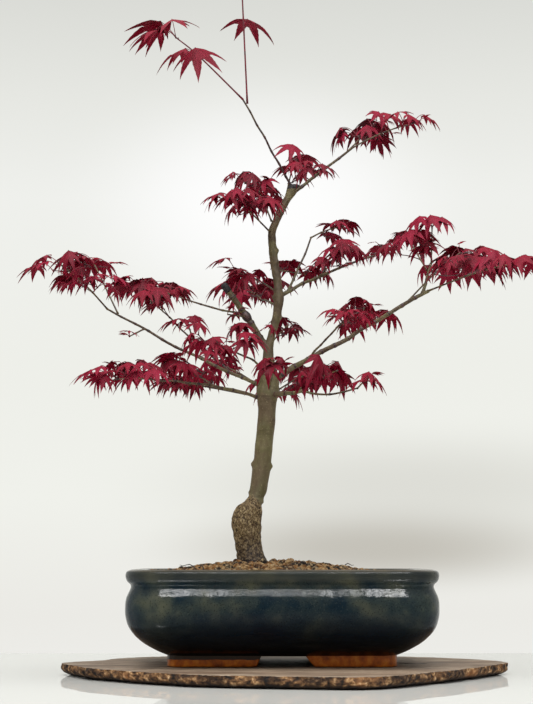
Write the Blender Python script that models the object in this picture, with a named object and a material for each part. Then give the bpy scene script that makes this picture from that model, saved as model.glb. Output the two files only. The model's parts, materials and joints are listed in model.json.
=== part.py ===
"""A red-leaved japanese maple grown as a bonsai, in a glazed rectangular pot on a live-edge wooden slab.

The origin is on the slab's flat underside, below the middle of the pot.
+X is to the right, +Y to the back, +Z up.
Sizes are in metres. Headings are degrees seen from above: 0 right, 90 back, 180 left, 270 front.
"""

import math
import random
from collections import namedtuple

import bmesh
import bpy
import numpy as np

CLEARANCE = 0.0003  # gap kept between neighbouring solids
UP = np.array((0.0, 0.0, 1.0))

# ---------------------------------------------------------------- driving sizes: slab, pot and soil
SLAB_THICKNESS = 0.0095
# Outline of the slab's top, counter-clockwise from its right tip.
SLAB_EDGE = (
    (0.1810, 0.006),
    (0.1730, 0.042),
    (0.1370, 0.080),
    (0.0960, 0.103),
    (0.0350, 0.122),
    (-0.0350, 0.122),
    (-0.0980, 0.103),
    (-0.1370, 0.072),
    (-0.1480, 0.040),
    (-0.1700, 0.018),
    (-0.1745, -0.004),
    (-0.1540, -0.052),
    (-0.1290, -0.086),
    (-0.1000, -0.118),
    (-0.0550, -0.150),
    (0.0040, -0.166),
    (0.0520, -0.173),
    (0.0780, -0.160),
    (0.1040, -0.126),
    (0.1320, -0.084),
    (0.1580, -0.042),
)
SLAB_WAVES = ((9, 0.004, 1.7), (17, 0.003, 0.9))  # how often, how far and where the bark bulges out
SLAB_UNDERCUT = 0.97  # the bark narrows to this share at the underside
SLAB_POINTS = 72

POT_BASE = SLAB_THICKNESS + CLEARANCE  # underside of the feet
POT_HALF_DEPTH_CUT = 0.026  # the pot is this much shallower than wide, on each side
POT_WALL_CORNER = 0.033
FOOT_HEIGHT = 0.0085
# Outside of the pot from its underside up to the rim: half width, height over the feet's underside.
POT_OUTSIDE = (
    (0.0868, 0.0080),
    (0.0950, 0.0112),
    (0.1032, 0.0170),
    (0.1104, 0.0240),
    (0.1155, 0.0310),
    (0.1186, 0.0375),
    (0.1196, 0.0430),
    (0.1186, 0.0490),
    (0.1157, 0.0555),
    (0.1130, 0.0605),
    (0.1134, 0.0630),
    (0.1175, 0.0655),
    (0.1194, 0.0685),
    (0.1182, 0.0717),
    (0.1148, 0.0735),
)
# Inside of the pot from the rim down to the floor.
POT_INSIDE = (
    (0.1100, 0.0728),
    (0.1073, 0.0700),
    (0.1069, 0.0620),
    (0.1109, 0.0520),
    (0.1117, 0.0420),
    (0.1061, 0.0270),
    (0.0945, 0.0180),
    (0.0849, 0.0160),
)
POT_ARC_POINTS = 6  # points on each rounded corner
FOOT_OUTSIDE = 0.0878  # half width over the feet
FOOT_LENGTH, FOOT_RETURN = 0.0737, 0.046  # along the front and along the side
FOOT_THICKNESS = 0.016
FOOT_SLANTS = {-1: 0.0055, 1: 0.0105}  # how far a left and a right foot's ends lean back at the bottom
FOOT_SUNK = 0.004  # how far a foot reaches up into the pot's floor

SOIL_CROWN = 0.0885  # height of the soil where the trunk stands
SOIL_EDGE = 0.0785  # and at the pot's wall
SOIL_MOUND = ((0.95, 0.0790), (0.79, 0.0804), (0.61, 0.0828), (0.42, 0.0856), (0.22, 0.0885))
SOIL_LUMP = 0.0011  # clumps of granules stand this much over or under the mound
SOIL_POINTS, SOIL_SEED = 36, 8

# ---------------------------------------------------------------- driving sizes: trunk
TRUNK_FOOT = SOIL_CROWN + CLEARANCE
# Bends of the trunk's axis: height over the foot, offset to the right, offset to the back.
TRUNK_BENDS = (
    (0.000, -0.0230, 0.000),
    (0.014, -0.0262, 0.000),
    (0.032, -0.0280, -0.001),
    (0.044, -0.0250, -0.001),
    (0.054, -0.0190, 0.000),
    (0.105, -0.0128, 0.001),
    (0.140, -0.0106, 0.002),
    (0.172, -0.0098, 0.001),
    (0.210, -0.0022, -0.002),
    (0.258, -0.0077, 0.001),
    (0.278, -0.0030, 0.003),
    (0.305, 0.0112, 0.005),
)
BOLE_RADIUS = 0.0071
LEADER_RADIUS = 0.0033
FORK_HEIGHTS = (0.146, 0.172)  # the bole thins to the leader between these
GRAFT_RADIUS = 0.0106
GRAFT_HEIGHTS = (0.043, 0.052)  # the swollen graft ends between these
GRAFT_BULGE = (0.033, 0.0014, 0.010)  # height, extra radius, half length
WHORL_BULGE = (0.136, 0.0011, 0.006)
TOP_CALLUS = (0.303, 0.0010, 0.004)
FOOT_FLARE = (0.0, 0.0012, 0.005)
TRUNK_RINGS = 38


def smoothstep(value, low, high):
    share = min(1.0, max(0.0, (value - low) / (high - low)))
    return share * share * (3 - 2 * share)


def bump(value, centre, size, half_length):
    return size * math.exp(-(((value - centre) / half_length) ** 2))


def trunk_radius(height):
    radius = LEADER_RADIUS + (BOLE_RADIUS - LEADER_RADIUS) * (1 - smoothstep(height, *FORK_HEIGHTS))
    radius += (GRAFT_RADIUS - BOLE_RADIUS) * (1 - smoothstep(height, *GRAFT_HEIGHTS))
    for centre, size, half_length in (GRAFT_BULGE, WHORL_BULGE, TOP_CALLUS, FOOT_FLARE):
        radius += bump(height, centre, size, half_length)
    return radius


def through(points, count):
    """A smooth path of count points that passes through the given ones (Catmull-Rom)."""
    points = np.asarray(points, float)
    ends = np.vstack((2 * points[0] - points[1], points, 2 * points[-1] - points[-2]))
    path = []
    for position in np.linspace(0, len(points) - 1, count):
        k = min(int(position), len(points) - 2)
        t = position - k
        a, b, c, d = ends[k : k + 4]
        slope = c - a
        curve = 2 * a - 5 * b + 4 * c - d
        twist = 3 * b - a - 3 * c + d
        path.append(0.5 * (2 * b + slope * t + curve * t**2 + twist * t**3))
    return np.array(path)


def trunk_axis(rings=TRUNK_RINGS):
    dense = through([(x, y, TRUNK_FOOT + h) for h, x, y in TRUNK_BENDS], 400)
    heights = np.linspace(dense[0, 2], dense[-1, 2], rings)
    points = np.stack([np.interp(heights, dense[:, 2], dense[:, k]) for k in range(3)], 1)
    radii = np.array([trunk_radius(z - TRUNK_FOOT) for z in heights])
    return points, radii


# ---------------------------------------------------------------- limbs
Limb = namedtuple("Limb", "name parent along heading reach rise bow base tip")
LIMB_STEP = 0.012  # length of one straight piece of a limb
KINK = 0.0009  # how far each node stands off the limb's line


def polar(heading, pitch=0.0):
    a, e = math.radians(heading), math.radians(pitch)
    return np.array((math.cos(a) * math.cos(e), math.sin(a) * math.cos(e), math.sin(e)))


def unit(vector):
    return vector / max(np.linalg.norm(vector), 1e-12)


def along_axis(axis, share):
    """Point, direction and radius at a share of an axis's length."""
    points, radii = axis
    lengths = np.linalg.norm(np.diff(points, axis=0), axis=1)
    reached = np.concatenate(([0], np.cumsum(lengths)))
    at = share * reached[-1]
    k = min(int(np.searchsorted(reached, at, "right")) - 1, len(lengths) - 1)
    t = (at - reached[k]) / lengths[k]
    step = points[k + 1] - points[k]
    return points[k] + step * t, unit(step), radii[k] + (radii[k + 1] - radii[k]) * t


def bowed(start, end, bow, count):
    """A line from start to end that rises bow above the straight one at its middle."""
    t = np.linspace(0, 1, count)[:, None]
    return start + (end - start) * t + UP * bow * 4 * t * (1 - t)


def limb_axis(limb, parents):
    start = along_axis(parents[limb.parent], limb.along)[0]
    end = start + polar(limb.heading) * limb.reach + UP * limb.rise
    count = max(4, round(math.dist(start, end) / LIMB_STEP) + 1)
    points = bowed(start, end, limb.bow, count)
    side = unit(np.cross(UP, end - start))
    rng = random.Random(limb.name)
    for k in range(1, count - 1):
        size = KINK * (-1) ** k * min(1.0, limb.base / 0.0015)
        points[k] += side * size * rng.uniform(0.3, 1.0) + UP * size * rng.uniform(-1.0, 1.0)
    shares = np.linspace(0, 1, count)
    radii = limb.base + (limb.tip - limb.base) * shares**0.8
    return points, radii


def limb_axes(limbs):
    axes = {"trunk": trunk_axis()}
    for limb in limbs:
        axes[limb.name] = limb_axis(limb, axes)
    return axes

# name, parent, share of the parent's length it starts at, heading, horizontal reach, rise,
# height of its bow over the straight line, radius at its base, radius at its tip
LIMBS = (
    Limb("pruned_stub", "trunk", 0.55, 196, 0.038, 0.052, 0.0, 0.003, 0.0022),
    Limb("whip_shoot", "trunk", 0.99, 202, 0.044, 0.07, 0.0, 0.00095, 0.0007),
    Limb("left_long_bough", "trunk", 0.45, 199, 0.133, 0.059, -0.0024, 0.0016, 0.00075),
    Limb("left_low_bough", "trunk", 0.42, 218, 0.103, 0.01, 0.0032, 0.0015, 0.0007),
    Limb("left_dark_bough", "left_long_bough", 0.23, 142, 0.054, 0.04, 0.0, 0.00095, 0.0007),
    Limb("left_high_bough", "pruned_stub", 0.53, 139, 0.061, 0.017, -0.0008, 0.00085, 0.0007),
    Limb("left_front_bough", "trunk", 0.49, 241, 0.052, 0.012, 0.0024, 0.001, 0.0007),
    Limb("right_long_bough", "trunk", 0.47, 349, 0.13, 0.07, -0.0008, 0.0022, 0.0014),
    Limb("right_fork_up", "right_long_bough", 0.96, 66, 0.022, 0.027, 0.0, 0.0013, 0.0009),
    Limb("right_thin_bough", "right_long_bough", 0.26, 293, 0.051, 0.019, 0.0008, 0.00085, 0.0007),
    Limb("right_mid_bough", "trunk", 0.69, 28, 0.09, 0.04, 0.0024, 0.0016, 0.00075),
    Limb("right_zigzag", "right_mid_bough", 0.09, 33, 0.023, 0.046, -0.0016, 0.001, 0.0007),
    Limb("upper_right_bough", "trunk", 0.97, 351, 0.051, 0.037, 0.0, 0.0015, 0.0009),
    Limb("right_low_bough", "trunk", 0.43, 310, 0.042, 0.002, 0.0, 0.002, 0.0013),
    Limb("right_low_outer", "right_low_bough", 1.0, 331, 0.048, 0.0, -0.0032, 0.00085, 0.0007),
    Limb("back_low_bough", "trunk", 0.45, 82, 0.075, 0.001, 0.0032, 0.0015, 0.0008),
    Limb("back_mid_bough", "trunk", 0.66, 102, 0.063, 0.015, 0.0024, 0.0011, 0.00075),
)


# ---------------------------------------------------------------- foliage
Mass = namedtuple("Mass", "name limb along heading reach rise bow bare nodes spread leaf seed")
Leaf = namedtuple("Leaf", "foot base frame size openness fold droop")
Spray = namedtuple("Spray", "twigs leaves")
STEM_RADIUS = 0.0007
TWIG_RADIUS = 0.0005
STALK_RADIUS = 0.00035
LOBES = ((0, 1.0), (40, 0.94), (-40, 0.94), (80, 0.74), (-80, 0.74))  # angle, length in leaf sizes
SPACE_ALONG, SPACE_ACROSS, SPACE_UP = 1.6, 1.3, 1.5  # a mass's space over its twigs, in leaf sizes
SPACE_SQUEEZE = np.array((1.0, 1.0, 1.5))  # neighbours' spaces part sooner in height
SPACE_GAP = 0.0008
BLADE_GAP = 0.0008
LEAF_GAP = 0.0028  # least distance between the lobes of two leaves
CROWDING = 0.40  # least distance between the middles of two blades, in leaf sizes


def stem_start(mass, axes):
    """Where a mass's stem begins: at its limb's tip, or on the limb's side, clear of it."""
    point, direction, radius = along_axis(axes[mass.limb], mass.along)
    out = unit(polar(mass.heading) * mass.reach + UP * mass.rise)
    lean = out @ direction
    if mass.along >= 1:
        return point + direction * (CLEARANCE + STEM_RADIUS * math.sqrt(max(0.0, 1 - lean * lean)))
    across = unit(out - direction * lean)
    return point + across * (radius + CLEARANCE + STEM_RADIUS * abs(lean))


def stem_of(mass, axes):
    """Points of a mass's stem. Every one but the first bears leaves."""
    start = stem_start(mass, axes)
    end = start + polar(mass.heading) * mass.reach + UP * mass.rise
    if mass.bare:
        shares = np.concatenate(((0.0,), np.linspace(mass.bare, 1, mass.nodes)))
    else:
        shares = np.linspace(0, 1, mass.nodes + 1)
    t = shares[:, None]
    return start + (end - start) * t + UP * mass.bow * 4 * t * (1 - t)


class Space:
    """The room that a mass keeps to: an ellipsoid round its twigs, parted from others' by planes."""

    def __init__(self, mass, stem):
        root = stem[1] if mass.bare else stem[0]
        self.centre = (root + stem[-1]) / 2
        forward = polar(mass.heading)
        self.axes = np.stack((forward, np.cross(UP, forward), UP))
        half = math.dist(root, stem[-1]) / 2
        self.half = np.array(
            (
                half + SPACE_ALONG * mass.leaf,
                mass.spread + SPACE_ACROSS * mass.leaf,
                abs(stem[-1][2] - root[2]) / 2 + SPACE_UP * mass.leaf,
            )
        )
        self.weight = ((self.half[0] + self.half[1]) / 2) ** 2

    def power(self, points):
        return (((points - self.centre) * SPACE_SQUEEZE) ** 2).sum(-1) - self.weight

    def holds(self, points, others):
        inside = ((((points - self.centre) @ self.axes.T) / self.half) ** 2).sum(-1) <= 1
        if not inside.all():
            return False
        own = self.power(points)
        for other in others:
            gap = 2 * np.linalg.norm((self.centre - other.centre) * SPACE_SQUEEZE) * SPACE_GAP
            if (other.power(points) - own < gap).any():
                return False
        return True


def clear_of(points, rods, margin):
    """Whether every point stays margin away from every rod (start, end, radius)."""
    starts, ends, radii = rods
    if not len(starts):
        return True
    line = ends - starts
    t = ((points[:, None] - starts) * line).sum(-1) / np.maximum((line**2).sum(-1), 1e-12)
    nearest = starts + line * np.clip(t, 0, 1)[..., None]
    return bool((np.linalg.norm(points[:, None] - nearest, axis=-1) > radii + margin).all())


def rods_of(axes):
    starts, ends, radii = [], [], []
    for points, thick in axes:
        starts.extend(points[:-1])
        ends.extend(points[1:])
        radii.extend(np.maximum(thick[:-1], thick[1:]))
    return np.array(starts), np.array(ends), np.array(radii)


def leaf_point(leaf, distance, angle):
    """A point of the blade, distance from its base in leaf sizes, at angle degrees from the middle lobe."""
    curl = leaf.droop / leaf.size
    r = distance * leaf.size
    out = (math.sin(leaf.fold + curl * r) - math.sin(leaf.fold)) / curl
    down = (math.cos(leaf.fold) - math.cos(leaf.fold + curl * r)) / curl
    a = math.radians(angle) * leaf.openness
    return leaf.base + leaf.frame @ np.array((out * math.cos(a), out * math.sin(a), -down))


def leaf_frame(forward, roll):
    """Columns: along the middle lobe, to its left, and the blade's upper side."""
    level = unit(np.cross(UP, forward))
    upper = np.cross(forward, level)
    turn = math.radians(roll)
    left = level * math.cos(turn) + upper * math.sin(turn)
    return np.stack((forward, left, np.cross(forward, left)), 1)


def make_leaf(rng, node, heading, size, young=False):
    """One leaf on its stalk: the stalk leaves node along heading, and the blade hangs from its end."""
    size *= rng.uniform(0.8, 1.15) * (0.55 if young else 1.0)
    base = node + polar(heading, rng.uniform(10, 50)) * size * rng.uniform(0.35, 0.7)
    pitch = rng.uniform(20, 50) if young else rng.uniform(-35, 5)
    frame = leaf_frame(polar(heading + rng.uniform(-25, 25), pitch), rng.uniform(-20, 20))
    openness = rng.uniform(0.25, 0.5) if young else rng.uniform(0.8, 1.05)
    fold = math.radians(rng.uniform(10, 32))
    droop = math.radians(rng.uniform(12, 40))
    return Leaf(node, base, frame, size, openness, fold, droop)


RIB_SHARES = (0.2, 0.4, 0.6, 0.8, 1.0)
CHORD_SHARES = (0.35, 0.65)
LOBE_HALF_WIDTH = 0.12
BLADE_RODS = [(0, k) for k in range(5, 26, 5)]  # the base and each lobe's tip, in leaf_ribs


def leaf_ribs(leaf):
    """The blade's base, points down the middle of each lobe, then points of straight lines to the tips."""
    spots = [(length * share, angle) for angle, length in LOBES for share in RIB_SHARES]
    curved = [leaf.base] + [leaf_point(leaf, distance, angle) for distance, angle in spots]
    tips = curved[len(RIB_SHARES) :: len(RIB_SHARES)]
    straight = [leaf.base + (tip - leaf.base) * share for tip in tips for share in CHORD_SHARES]
    return np.array(curved + straight)


def rib_margins(size):
    """How far a rod must stay from each of leaf_ribs: a lobe is widest near the blade's base."""
    lobe = [min(1.0, (1 - share) / 0.6) * LOBE_HALF_WIDTH * size for share in RIB_SHARES]
    chord = [min(1.0, (1 - share) / 0.6) * LOBE_HALF_WIDTH * size for share in CHORD_SHARES]
    return np.array([0.0] + lobe * len(LOBES) + chord * len(LOBES)) + BLADE_GAP


def grow(mass, stem, space, others, rods):
    """Twigs and leaves of one mass: a stem with opposite pairs, each pair turned against the last."""
    rng = random.Random(mass.seed)
    twigs, leaves = [(stem, np.linspace(STEM_RADIUS, TWIG_RADIUS, len(stem)))], []
    middles, blades = [], []

    def add_leaf(wanted, node, heading, young=False):
        leaf = make_leaf(rng, node, heading, mass.leaf, young)
        if not wanted:
            return
        ribs = leaf_ribs(leaf)
        middle = ribs.mean(0)
        if any(math.dist(middle, other) < CROWDING * leaf.size for other in middles):
            return
        if not space.holds(ribs, others) or not clear_of(ribs, rods, rib_margins(leaf.size)[:, None]):
            return
        if not clear_of((leaf.foot + leaf.base)[None] / 2, rods, BLADE_GAP):
            return
        own = rods_of([(blade[list(pair)], np.zeros(2)) for blade in blades for pair in BLADE_RODS])
        if blades and not clear_of(ribs[1:], own, LEAF_GAP):
            return
        leaves.append(leaf)
        middles.append(middle)
        blades.append(ribs)

    def has_room(node, end):
        reach = node + (end - node) * np.array((0.2, 0.4, 0.6, 0.8, 1.0))[:, None]
        return space.holds(reach, others) and clear_of(reach, rods, BLADE_GAP)

    last = len(stem) - 1
    steep = abs(mass.rise) > 1.5 * mass.reach
    for k in range(1, last + 1):
        width = mass.spread * (1.0 - 0.5 * k / last) * (1.0 if k % 2 else 0.7)
        for side in (1, -1):
            spread = rng.uniform(40, 80)
            turn = mass.heading + (side * 90 + 90 * k if steep else side * spread)
            length = width * rng.uniform(0.7, 1.15)
            lift, share = rng.uniform(-5, 30), rng.uniform(0.45, 0.6)
            outs = [rng.uniform(15, 60) for _ in range(4)]
            if length < 0.45 * mass.leaf:
                add_leaf(True, stem[k], turn)
                continue
            end = stem[k] + polar(turn, lift) * length
            fits, before = has_room(stem[k], end), len(leaves)
            add_leaf(fits, end, turn + outs[0])
            add_leaf(fits, end, turn - outs[1])
            if length > 0.8 * mass.leaf:
                middle = stem[k] + (end - stem[k]) * share
                add_leaf(fits, middle, turn + 20 + outs[2])
                add_leaf(fits, middle, turn - 20 - outs[3])
            if len(leaves) > before:
                twigs.append((np.array((stem[k], end)), np.array((TWIG_RADIUS, STALK_RADIUS))))
    for side in (1, -1):
        add_leaf(True, stem[-1], mass.heading + side * rng.uniform(10, 45))
    add_leaf(True, stem[-1], mass.heading + rng.uniform(-15, 15), young=rng.random() < 0.7)
    return Spray(twigs, leaves)


def neighbours_of(mass, axes, stems, spaces):
    """The spaces of all other masses, and every limb and foreign stem as rods."""
    others = [space for name, space in spaces.items() if name != mass.name]
    foreign = [(stem, np.full(len(stem), STEM_RADIUS)) for name, stem in stems.items() if name != mass.name]
    return others, rods_of(list(axes.values()) + foreign)


# name, limb, share of the limb's length its stem starts at, the stem's heading, reach, rise and bow,
# bare share of the stem, pairs of leaves or twigs on it, reach of its side twigs, leaf size, seed
MASSES = (
    Mass("left_tip", "left_long_bough", 1.0, 228, 0.052, 0.031, 0.0024, 0.3, 4, 0.022, 0.022, 116),
    Mass("left_tip_back", "left_long_bough", 0.94, 145, 0.025, 0.042, 0.0, 0.4, 2, 0.016, 0.022, 432),
    Mass("left_high", "left_high_bough", 1.0, 149, 0.058, 0.015, 0.0024, 0.0, 4, 0.022, 0.02, 997),
    Mass("left_node", "left_long_bough", 0.78, 244, 0.022, -0.008, 0.0, 0.0, 1, 0.007, 0.014, 484),
    Mass("left_dark", "left_dark_bough", 1.0, 200, 0.026, 0.022, 0.0016, 0.3, 2, 0.018, 0.022, 137),
    Mass("left_dark_side", "left_dark_bough", 0.71, 261, 0.025, 0.012, 0.0008, 0.0, 1, 0.014, 0.02, 907),
    Mass("left_inner", "left_front_bough", 1.0, 237, 0.038, -0.006, 0.0016, 0.0, 3, 0.022, 0.021, 595),
    Mass("left_low_tip", "left_low_bough", 1.0, 202, 0.046, -0.002, 0.0024, 0.0, 4, 0.026, 0.02, 287),
    Mass("left_low_back", "trunk", 0.43, 139, 0.091, 0.016, 0.0016, 0.6, 3, 0.012, 0.019, 918),
    Mass("left_low_mid", "left_low_bough", 0.52, 138, 0.035, 0.015, 0.0016, 0.4, 2, 0.022, 0.02, 58),
    Mass("left_low_inner", "trunk", 0.46, 152, 0.042, 0.021, 0.0016, 0.4, 3, 0.018, 0.02, 863),
    Mass("centre_left", "trunk", 0.71, 148, 0.035, 0.017, 0.0016, 0.3, 3, 0.018, 0.02, 370),
    Mass("stub_low", "pruned_stub", 0.52, 239, 0.025, -0.001, 0.0, 0.2, 2, 0.012, 0.018, 802),
    Mass("stub_front", "pruned_stub", 0.25, 254, 0.052, -0.008, 0.0, 0.2, 2, 0.016, 0.019, 314),
    Mass("centre_right", "trunk", 0.76, 60, 0.047, 0.003, 0.0008, 0.2, 2, 0.016, 0.02, 347),
    Mass("centre_right_low", "trunk", 0.57, 61, 0.027, 0.017, 0.0008, 0.3, 2, 0.012, 0.017, 683),
    Mass("front_low", "trunk", 0.45, 277, 0.044, 0.013, 0.0016, 0.3, 2, 0.022, 0.022, 969),
    Mass("right_low_mid", "right_low_bough", 0.86, 322, 0.039, 0.013, 0.0016, 0.0, 2, 0.022, 0.021, 478),
    Mass("right_low_back", "trunk", 0.45, 17, 0.039, 0.019, 0.0016, 0.4, 2, 0.02, 0.021, 693),
    Mass("right_low_tip", "right_low_outer", 1.0, 313, 0.011, 0.006, 0.0008, 0.0, 2, 0.014, 0.022, 325),
    Mass("back_low", "back_low_bough", 1.0, 90, 0.026, 0.004, 0.0016, 0.0, 3, 0.026, 0.022, 134),
    Mass("back_mid", "back_mid_bough", 1.0, 105, 0.038, 0.012, 0.0016, 0.0, 3, 0.024, 0.021, 156),
    Mass("right_inner", "right_thin_bough", 1.0, 306, 0.016, 0.004, 0.0008, 0.0, 2, 0.012, 0.017, 150),
    Mass("right_mid_back", "right_long_bough", 0.58, 81, 0.027, 0.02, 0.0016, 0.2, 3, 0.02, 0.02, 982),
    Mass("right_up_left", "right_fork_up", 0.82, 115, 0.034, 0.033, 0.0, 0.3, 3, 0.02, 0.023, 676),
    Mass("right_up_top", "right_fork_up", 1.0, 267, 0.027, 0.025, 0.0, 0.3, 2, 0.02, 0.023, 524),
    Mass("right_out", "right_long_bough", 1.0, 324, 0.081, 0.015, 0.0024, 0.4, 4, 0.024, 0.022, 105),
    Mass("right_out_back", "right_long_bough", 0.87, 39, 0.059, 0.045, 0.0024, 0.5, 3, 0.022, 0.022, 740),
    Mass("right_mid_top", "right_zigzag", 1.0, 20, 0.029, 0.011, 0.0016, 0.3, 3, 0.016, 0.018, 279),
    Mass("right_mid", "right_mid_bough", 0.44, 331, 0.02, 0.019, 0.0, 0.2, 2, 0.02, 0.019, 508),
    Mass("right_mid_tip", "right_mid_bough", 1.0, 65, 0.021, 0.011, 0.0, 0.0, 1, 0.01, 0.017, 524),
    Mass("upper_left", "trunk", 0.86, 225, 0.042, 0.02, 0.0024, 0.5, 3, 0.016, 0.02, 408),
    Mass("upper_left_high", "trunk", 0.89, 135, 0.022, 0.039, 0.0016, 0.4, 3, 0.018, 0.019, 360),
    Mass("upper_centre", "trunk", 0.97, 64, 0.015, 0.032, 0.0, 0.3, 3, 0.018, 0.02, 517),
    Mass("upper_right", "upper_right_bough", 0.95, 51, 0.033, 0.026, 0.0, 0.0, 2, 0.018, 0.021, 674),
    Mass("upper_right_tip", "upper_right_bough", 1.0, 348, 0.05, 0.018, 0.0024, 0.2, 4, 0.016, 0.02, 790),
    Mass("upper_right_low", "upper_right_bough", 0.51, 263, 0.035, -0.008, 0.0, 0.0, 1, 0.008, 0.017, 473),
    Mass("whip_left", "whip_shoot", 1.0, 203, 0.058, 0.045, 0.0024, 0.66, 2, 0.004, 0.034, 254),
    Mass("whip_top", "whip_shoot", 0.95, 256, 0.024, 0.122, 0.0, 0.5, 2, 0.005, 0.038, 135),
)


# ---------------------------------------------------------------- meshes
LIMB_SIDES, STEM_SIDES, TWIG_SIDES, TRUNK_SIDES = 6, 4, 3, 10
ROOT_SUNK = 0.0004  # how far a stalk's root reaches past the middle of its twig
LEAF_THICKNESS = 0.032  # at the blade's middle, in leaf sizes
BLADE_OUTLINE = (  # distance from the base in leaf sizes, angle from the middle lobe
    (0.06, -150),
    (0.74, -80),
    (0.36, -60),
    (0.94, -40),
    (0.40, -20),
    (1.00, 0),
    (0.40, 20),
    (0.94, 40),
    (0.36, 60),
    (0.74, 80),
    (0.06, 150),
)


def mesh_object(name, points, faces, collection=None):
    mesh = bpy.data.meshes.new(name)
    mesh.from_pydata([tuple(float(c) for c in point) for point in points], [], faces)
    shape = bmesh.new()
    shape.from_mesh(mesh)
    bmesh.ops.recalc_face_normals(shape, faces=shape.faces)
    shape.to_mesh(mesh)
    shape.free()
    obj = bpy.data.objects.new(name, mesh)
    (collection or bpy.context.scene.collection).objects.link(obj)
    return obj


def lofted(rings):
    """Points and faces of the closed solid whose skin runs through rings of equally many points."""
    count = len(rings[0])
    faces = [tuple(range(count)), tuple(range((len(rings) - 1) * count, len(rings) * count))]
    for k in range(len(rings) - 1):
        for i in range(count):
            j = (i + 1) % count
            faces.append((k * count + i, k * count + j, (k + 1) * count + j, (k + 1) * count + i))
    return np.concatenate(rings), faces


def tube_rings(points, radii, sides, level=False):
    """Rings round an axis, without twist. Level rings all stay horizontal."""
    tangents = np.gradient(points, axis=0)
    across = np.array((1.0, 0.0, 0.0)) if level else np.cross(tangents[0], (0.3, 0.2, 0.93))
    turns = 2 * math.pi * np.arange(sides)[:, None] / sides
    rings = []
    for point, tangent, radius in zip(points, tangents, radii):
        tangent = UP if level else unit(tangent)
        across = unit(across - tangent * (across @ tangent))
        rings.append(point + radius * (np.cos(turns) * across + np.sin(turns) * np.cross(tangent, across)))
    return rings


def tube(name, axis, sides, collection=None):
    points, radii = axis
    rings = tube_rings(points, radii, sides, level=name.startswith("trunk"))
    return mesh_object(name, *lofted(rings), collection)


def cut_from(obj, parent, axes):
    """Takes the parent limb, and a clearance round it, out of a limb that starts on the parent's axis."""
    sides = TRUNK_SIDES if parent == "trunk" else LIMB_SIDES
    points, radii = axes[parent]
    room = CLEARANCE / math.cos(math.pi / sides) + radii * (1 / math.cos(math.pi / sides) - 1) * 0.5
    cutter = tube(parent + "_room", (points, radii + room), sides)
    cutter.hide_render = True
    cutter.display_type = "WIRE"
    cut = obj.modifiers.new("parent", "BOOLEAN")
    cut.operation = "DIFFERENCE"
    cut.object = cutter


def leaf_mesh(leaf):
    """A thin closed star for the blade, drawn out into its stalk at the back."""
    outline = [leaf_point(leaf, distance, angle) for distance, angle in BLADE_OUTLINE]
    normal = leaf.frame[:, 2] * LEAF_THICKNESS * leaf.size / 2
    last = len(outline) - 1
    top, bottom = last + 1, last + 2
    points = outline + [leaf.base + normal, leaf.base - normal]
    faces = []
    for k in range(last):
        faces.append((top, k, k + 1))
        faces.append((bottom, k + 1, k))
    stalk = unit(leaf.foot - leaf.base)
    # The stalk leaves through whichever back face looks towards the foot.
    back = points[0] - points[last]
    above = unit(np.cross(back, points[top] - points[last])) @ stalk
    below = -unit(np.cross(back, points[bottom] - points[last])) @ stalk
    through, closed = (top, bottom) if above >= below else (bottom, top)
    faces.append((last, 0, closed))
    section = (last, 0, through)
    middle = sum(points[k] for k in section) / 3
    for k in section:
        out = points[k] - middle
        points.append(leaf.foot + stalk * ROOT_SUNK + unit(out - stalk * (out @ stalk)) * STALK_RADIUS)
    foot = [len(points) - 3 + k for k in range(3)]
    for k in range(3):
        j = (k + 1) % 3
        faces.append((section[k], section[j], foot[j]))
        faces.append((section[k], foot[j], foot[k]))
    faces.append(tuple(foot))
    return points, faces


def drop_scraps(mesh):
    """Keeps only the largest body of a mesh: a union can leave a loose speck behind."""
    shape = bmesh.new()
    shape.from_mesh(mesh)
    left, bodies = set(shape.verts), []
    while left:
        body, edge_of_body = set(), {left.pop()}
        while edge_of_body:
            body |= edge_of_body
            edge_of_body = {e.other_vert(v) for v in edge_of_body for e in v.link_edges} - body
        left -= body
        bodies.append(body)
    scraps = sorted(bodies, key=len)[:-1]
    bmesh.ops.delete(shape, geom=[vert for body in scraps for vert in body], context="VERTS")
    shape.to_mesh(mesh)
    shape.free()


def join_all(obj, collection):
    """One union of an object with all those of a collection, applied."""
    join = obj.modifiers.new("join", "BOOLEAN")
    join.operation = "UNION"
    join.operand_type = "COLLECTION"
    join.collection = collection
    graph = bpy.context.evaluated_depsgraph_get()
    joined = bpy.data.meshes.new_from_object(obj.evaluated_get(graph))
    obj.modifiers.clear()
    obj.data = joined
    drop_scraps(joined)
    for piece in list(collection.objects):
        bpy.data.objects.remove(piece)
    bpy.data.collections.remove(collection)


def mass_object(mass, spray):
    pieces = bpy.data.collections.new(mass.name + "_pieces")
    bpy.context.scene.collection.children.link(pieces)
    stem, *twigs = spray.twigs
    obj = tube(mass.name, stem, STEM_SIDES)
    for twig in twigs:
        tube("twig", twig, TWIG_SIDES, pieces)
    for leaf in spray.leaves:
        mesh_object("leaf", *leaf_mesh(leaf), pieces)
    join_all(obj, pieces)
    return obj


# ---------------------------------------------------------------- pot, soil and slab
def rounded_rectangle(half_width, half_depth, corner, height, centre=0.0, arc_points=POT_ARC_POINTS):
    points = []
    for quarter, (x_side, y_side) in enumerate(((1, 1), (-1, 1), (-1, -1), (1, -1))):
        for turn in np.linspace(0, math.pi / 2, arc_points) + quarter * math.pi / 2:
            x = x_side * (half_width - corner) + corner * math.cos(turn)
            y = y_side * (half_depth - corner) + corner * math.sin(turn)
            points.append((x + centre, y, height))
    return np.array(points)


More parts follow.
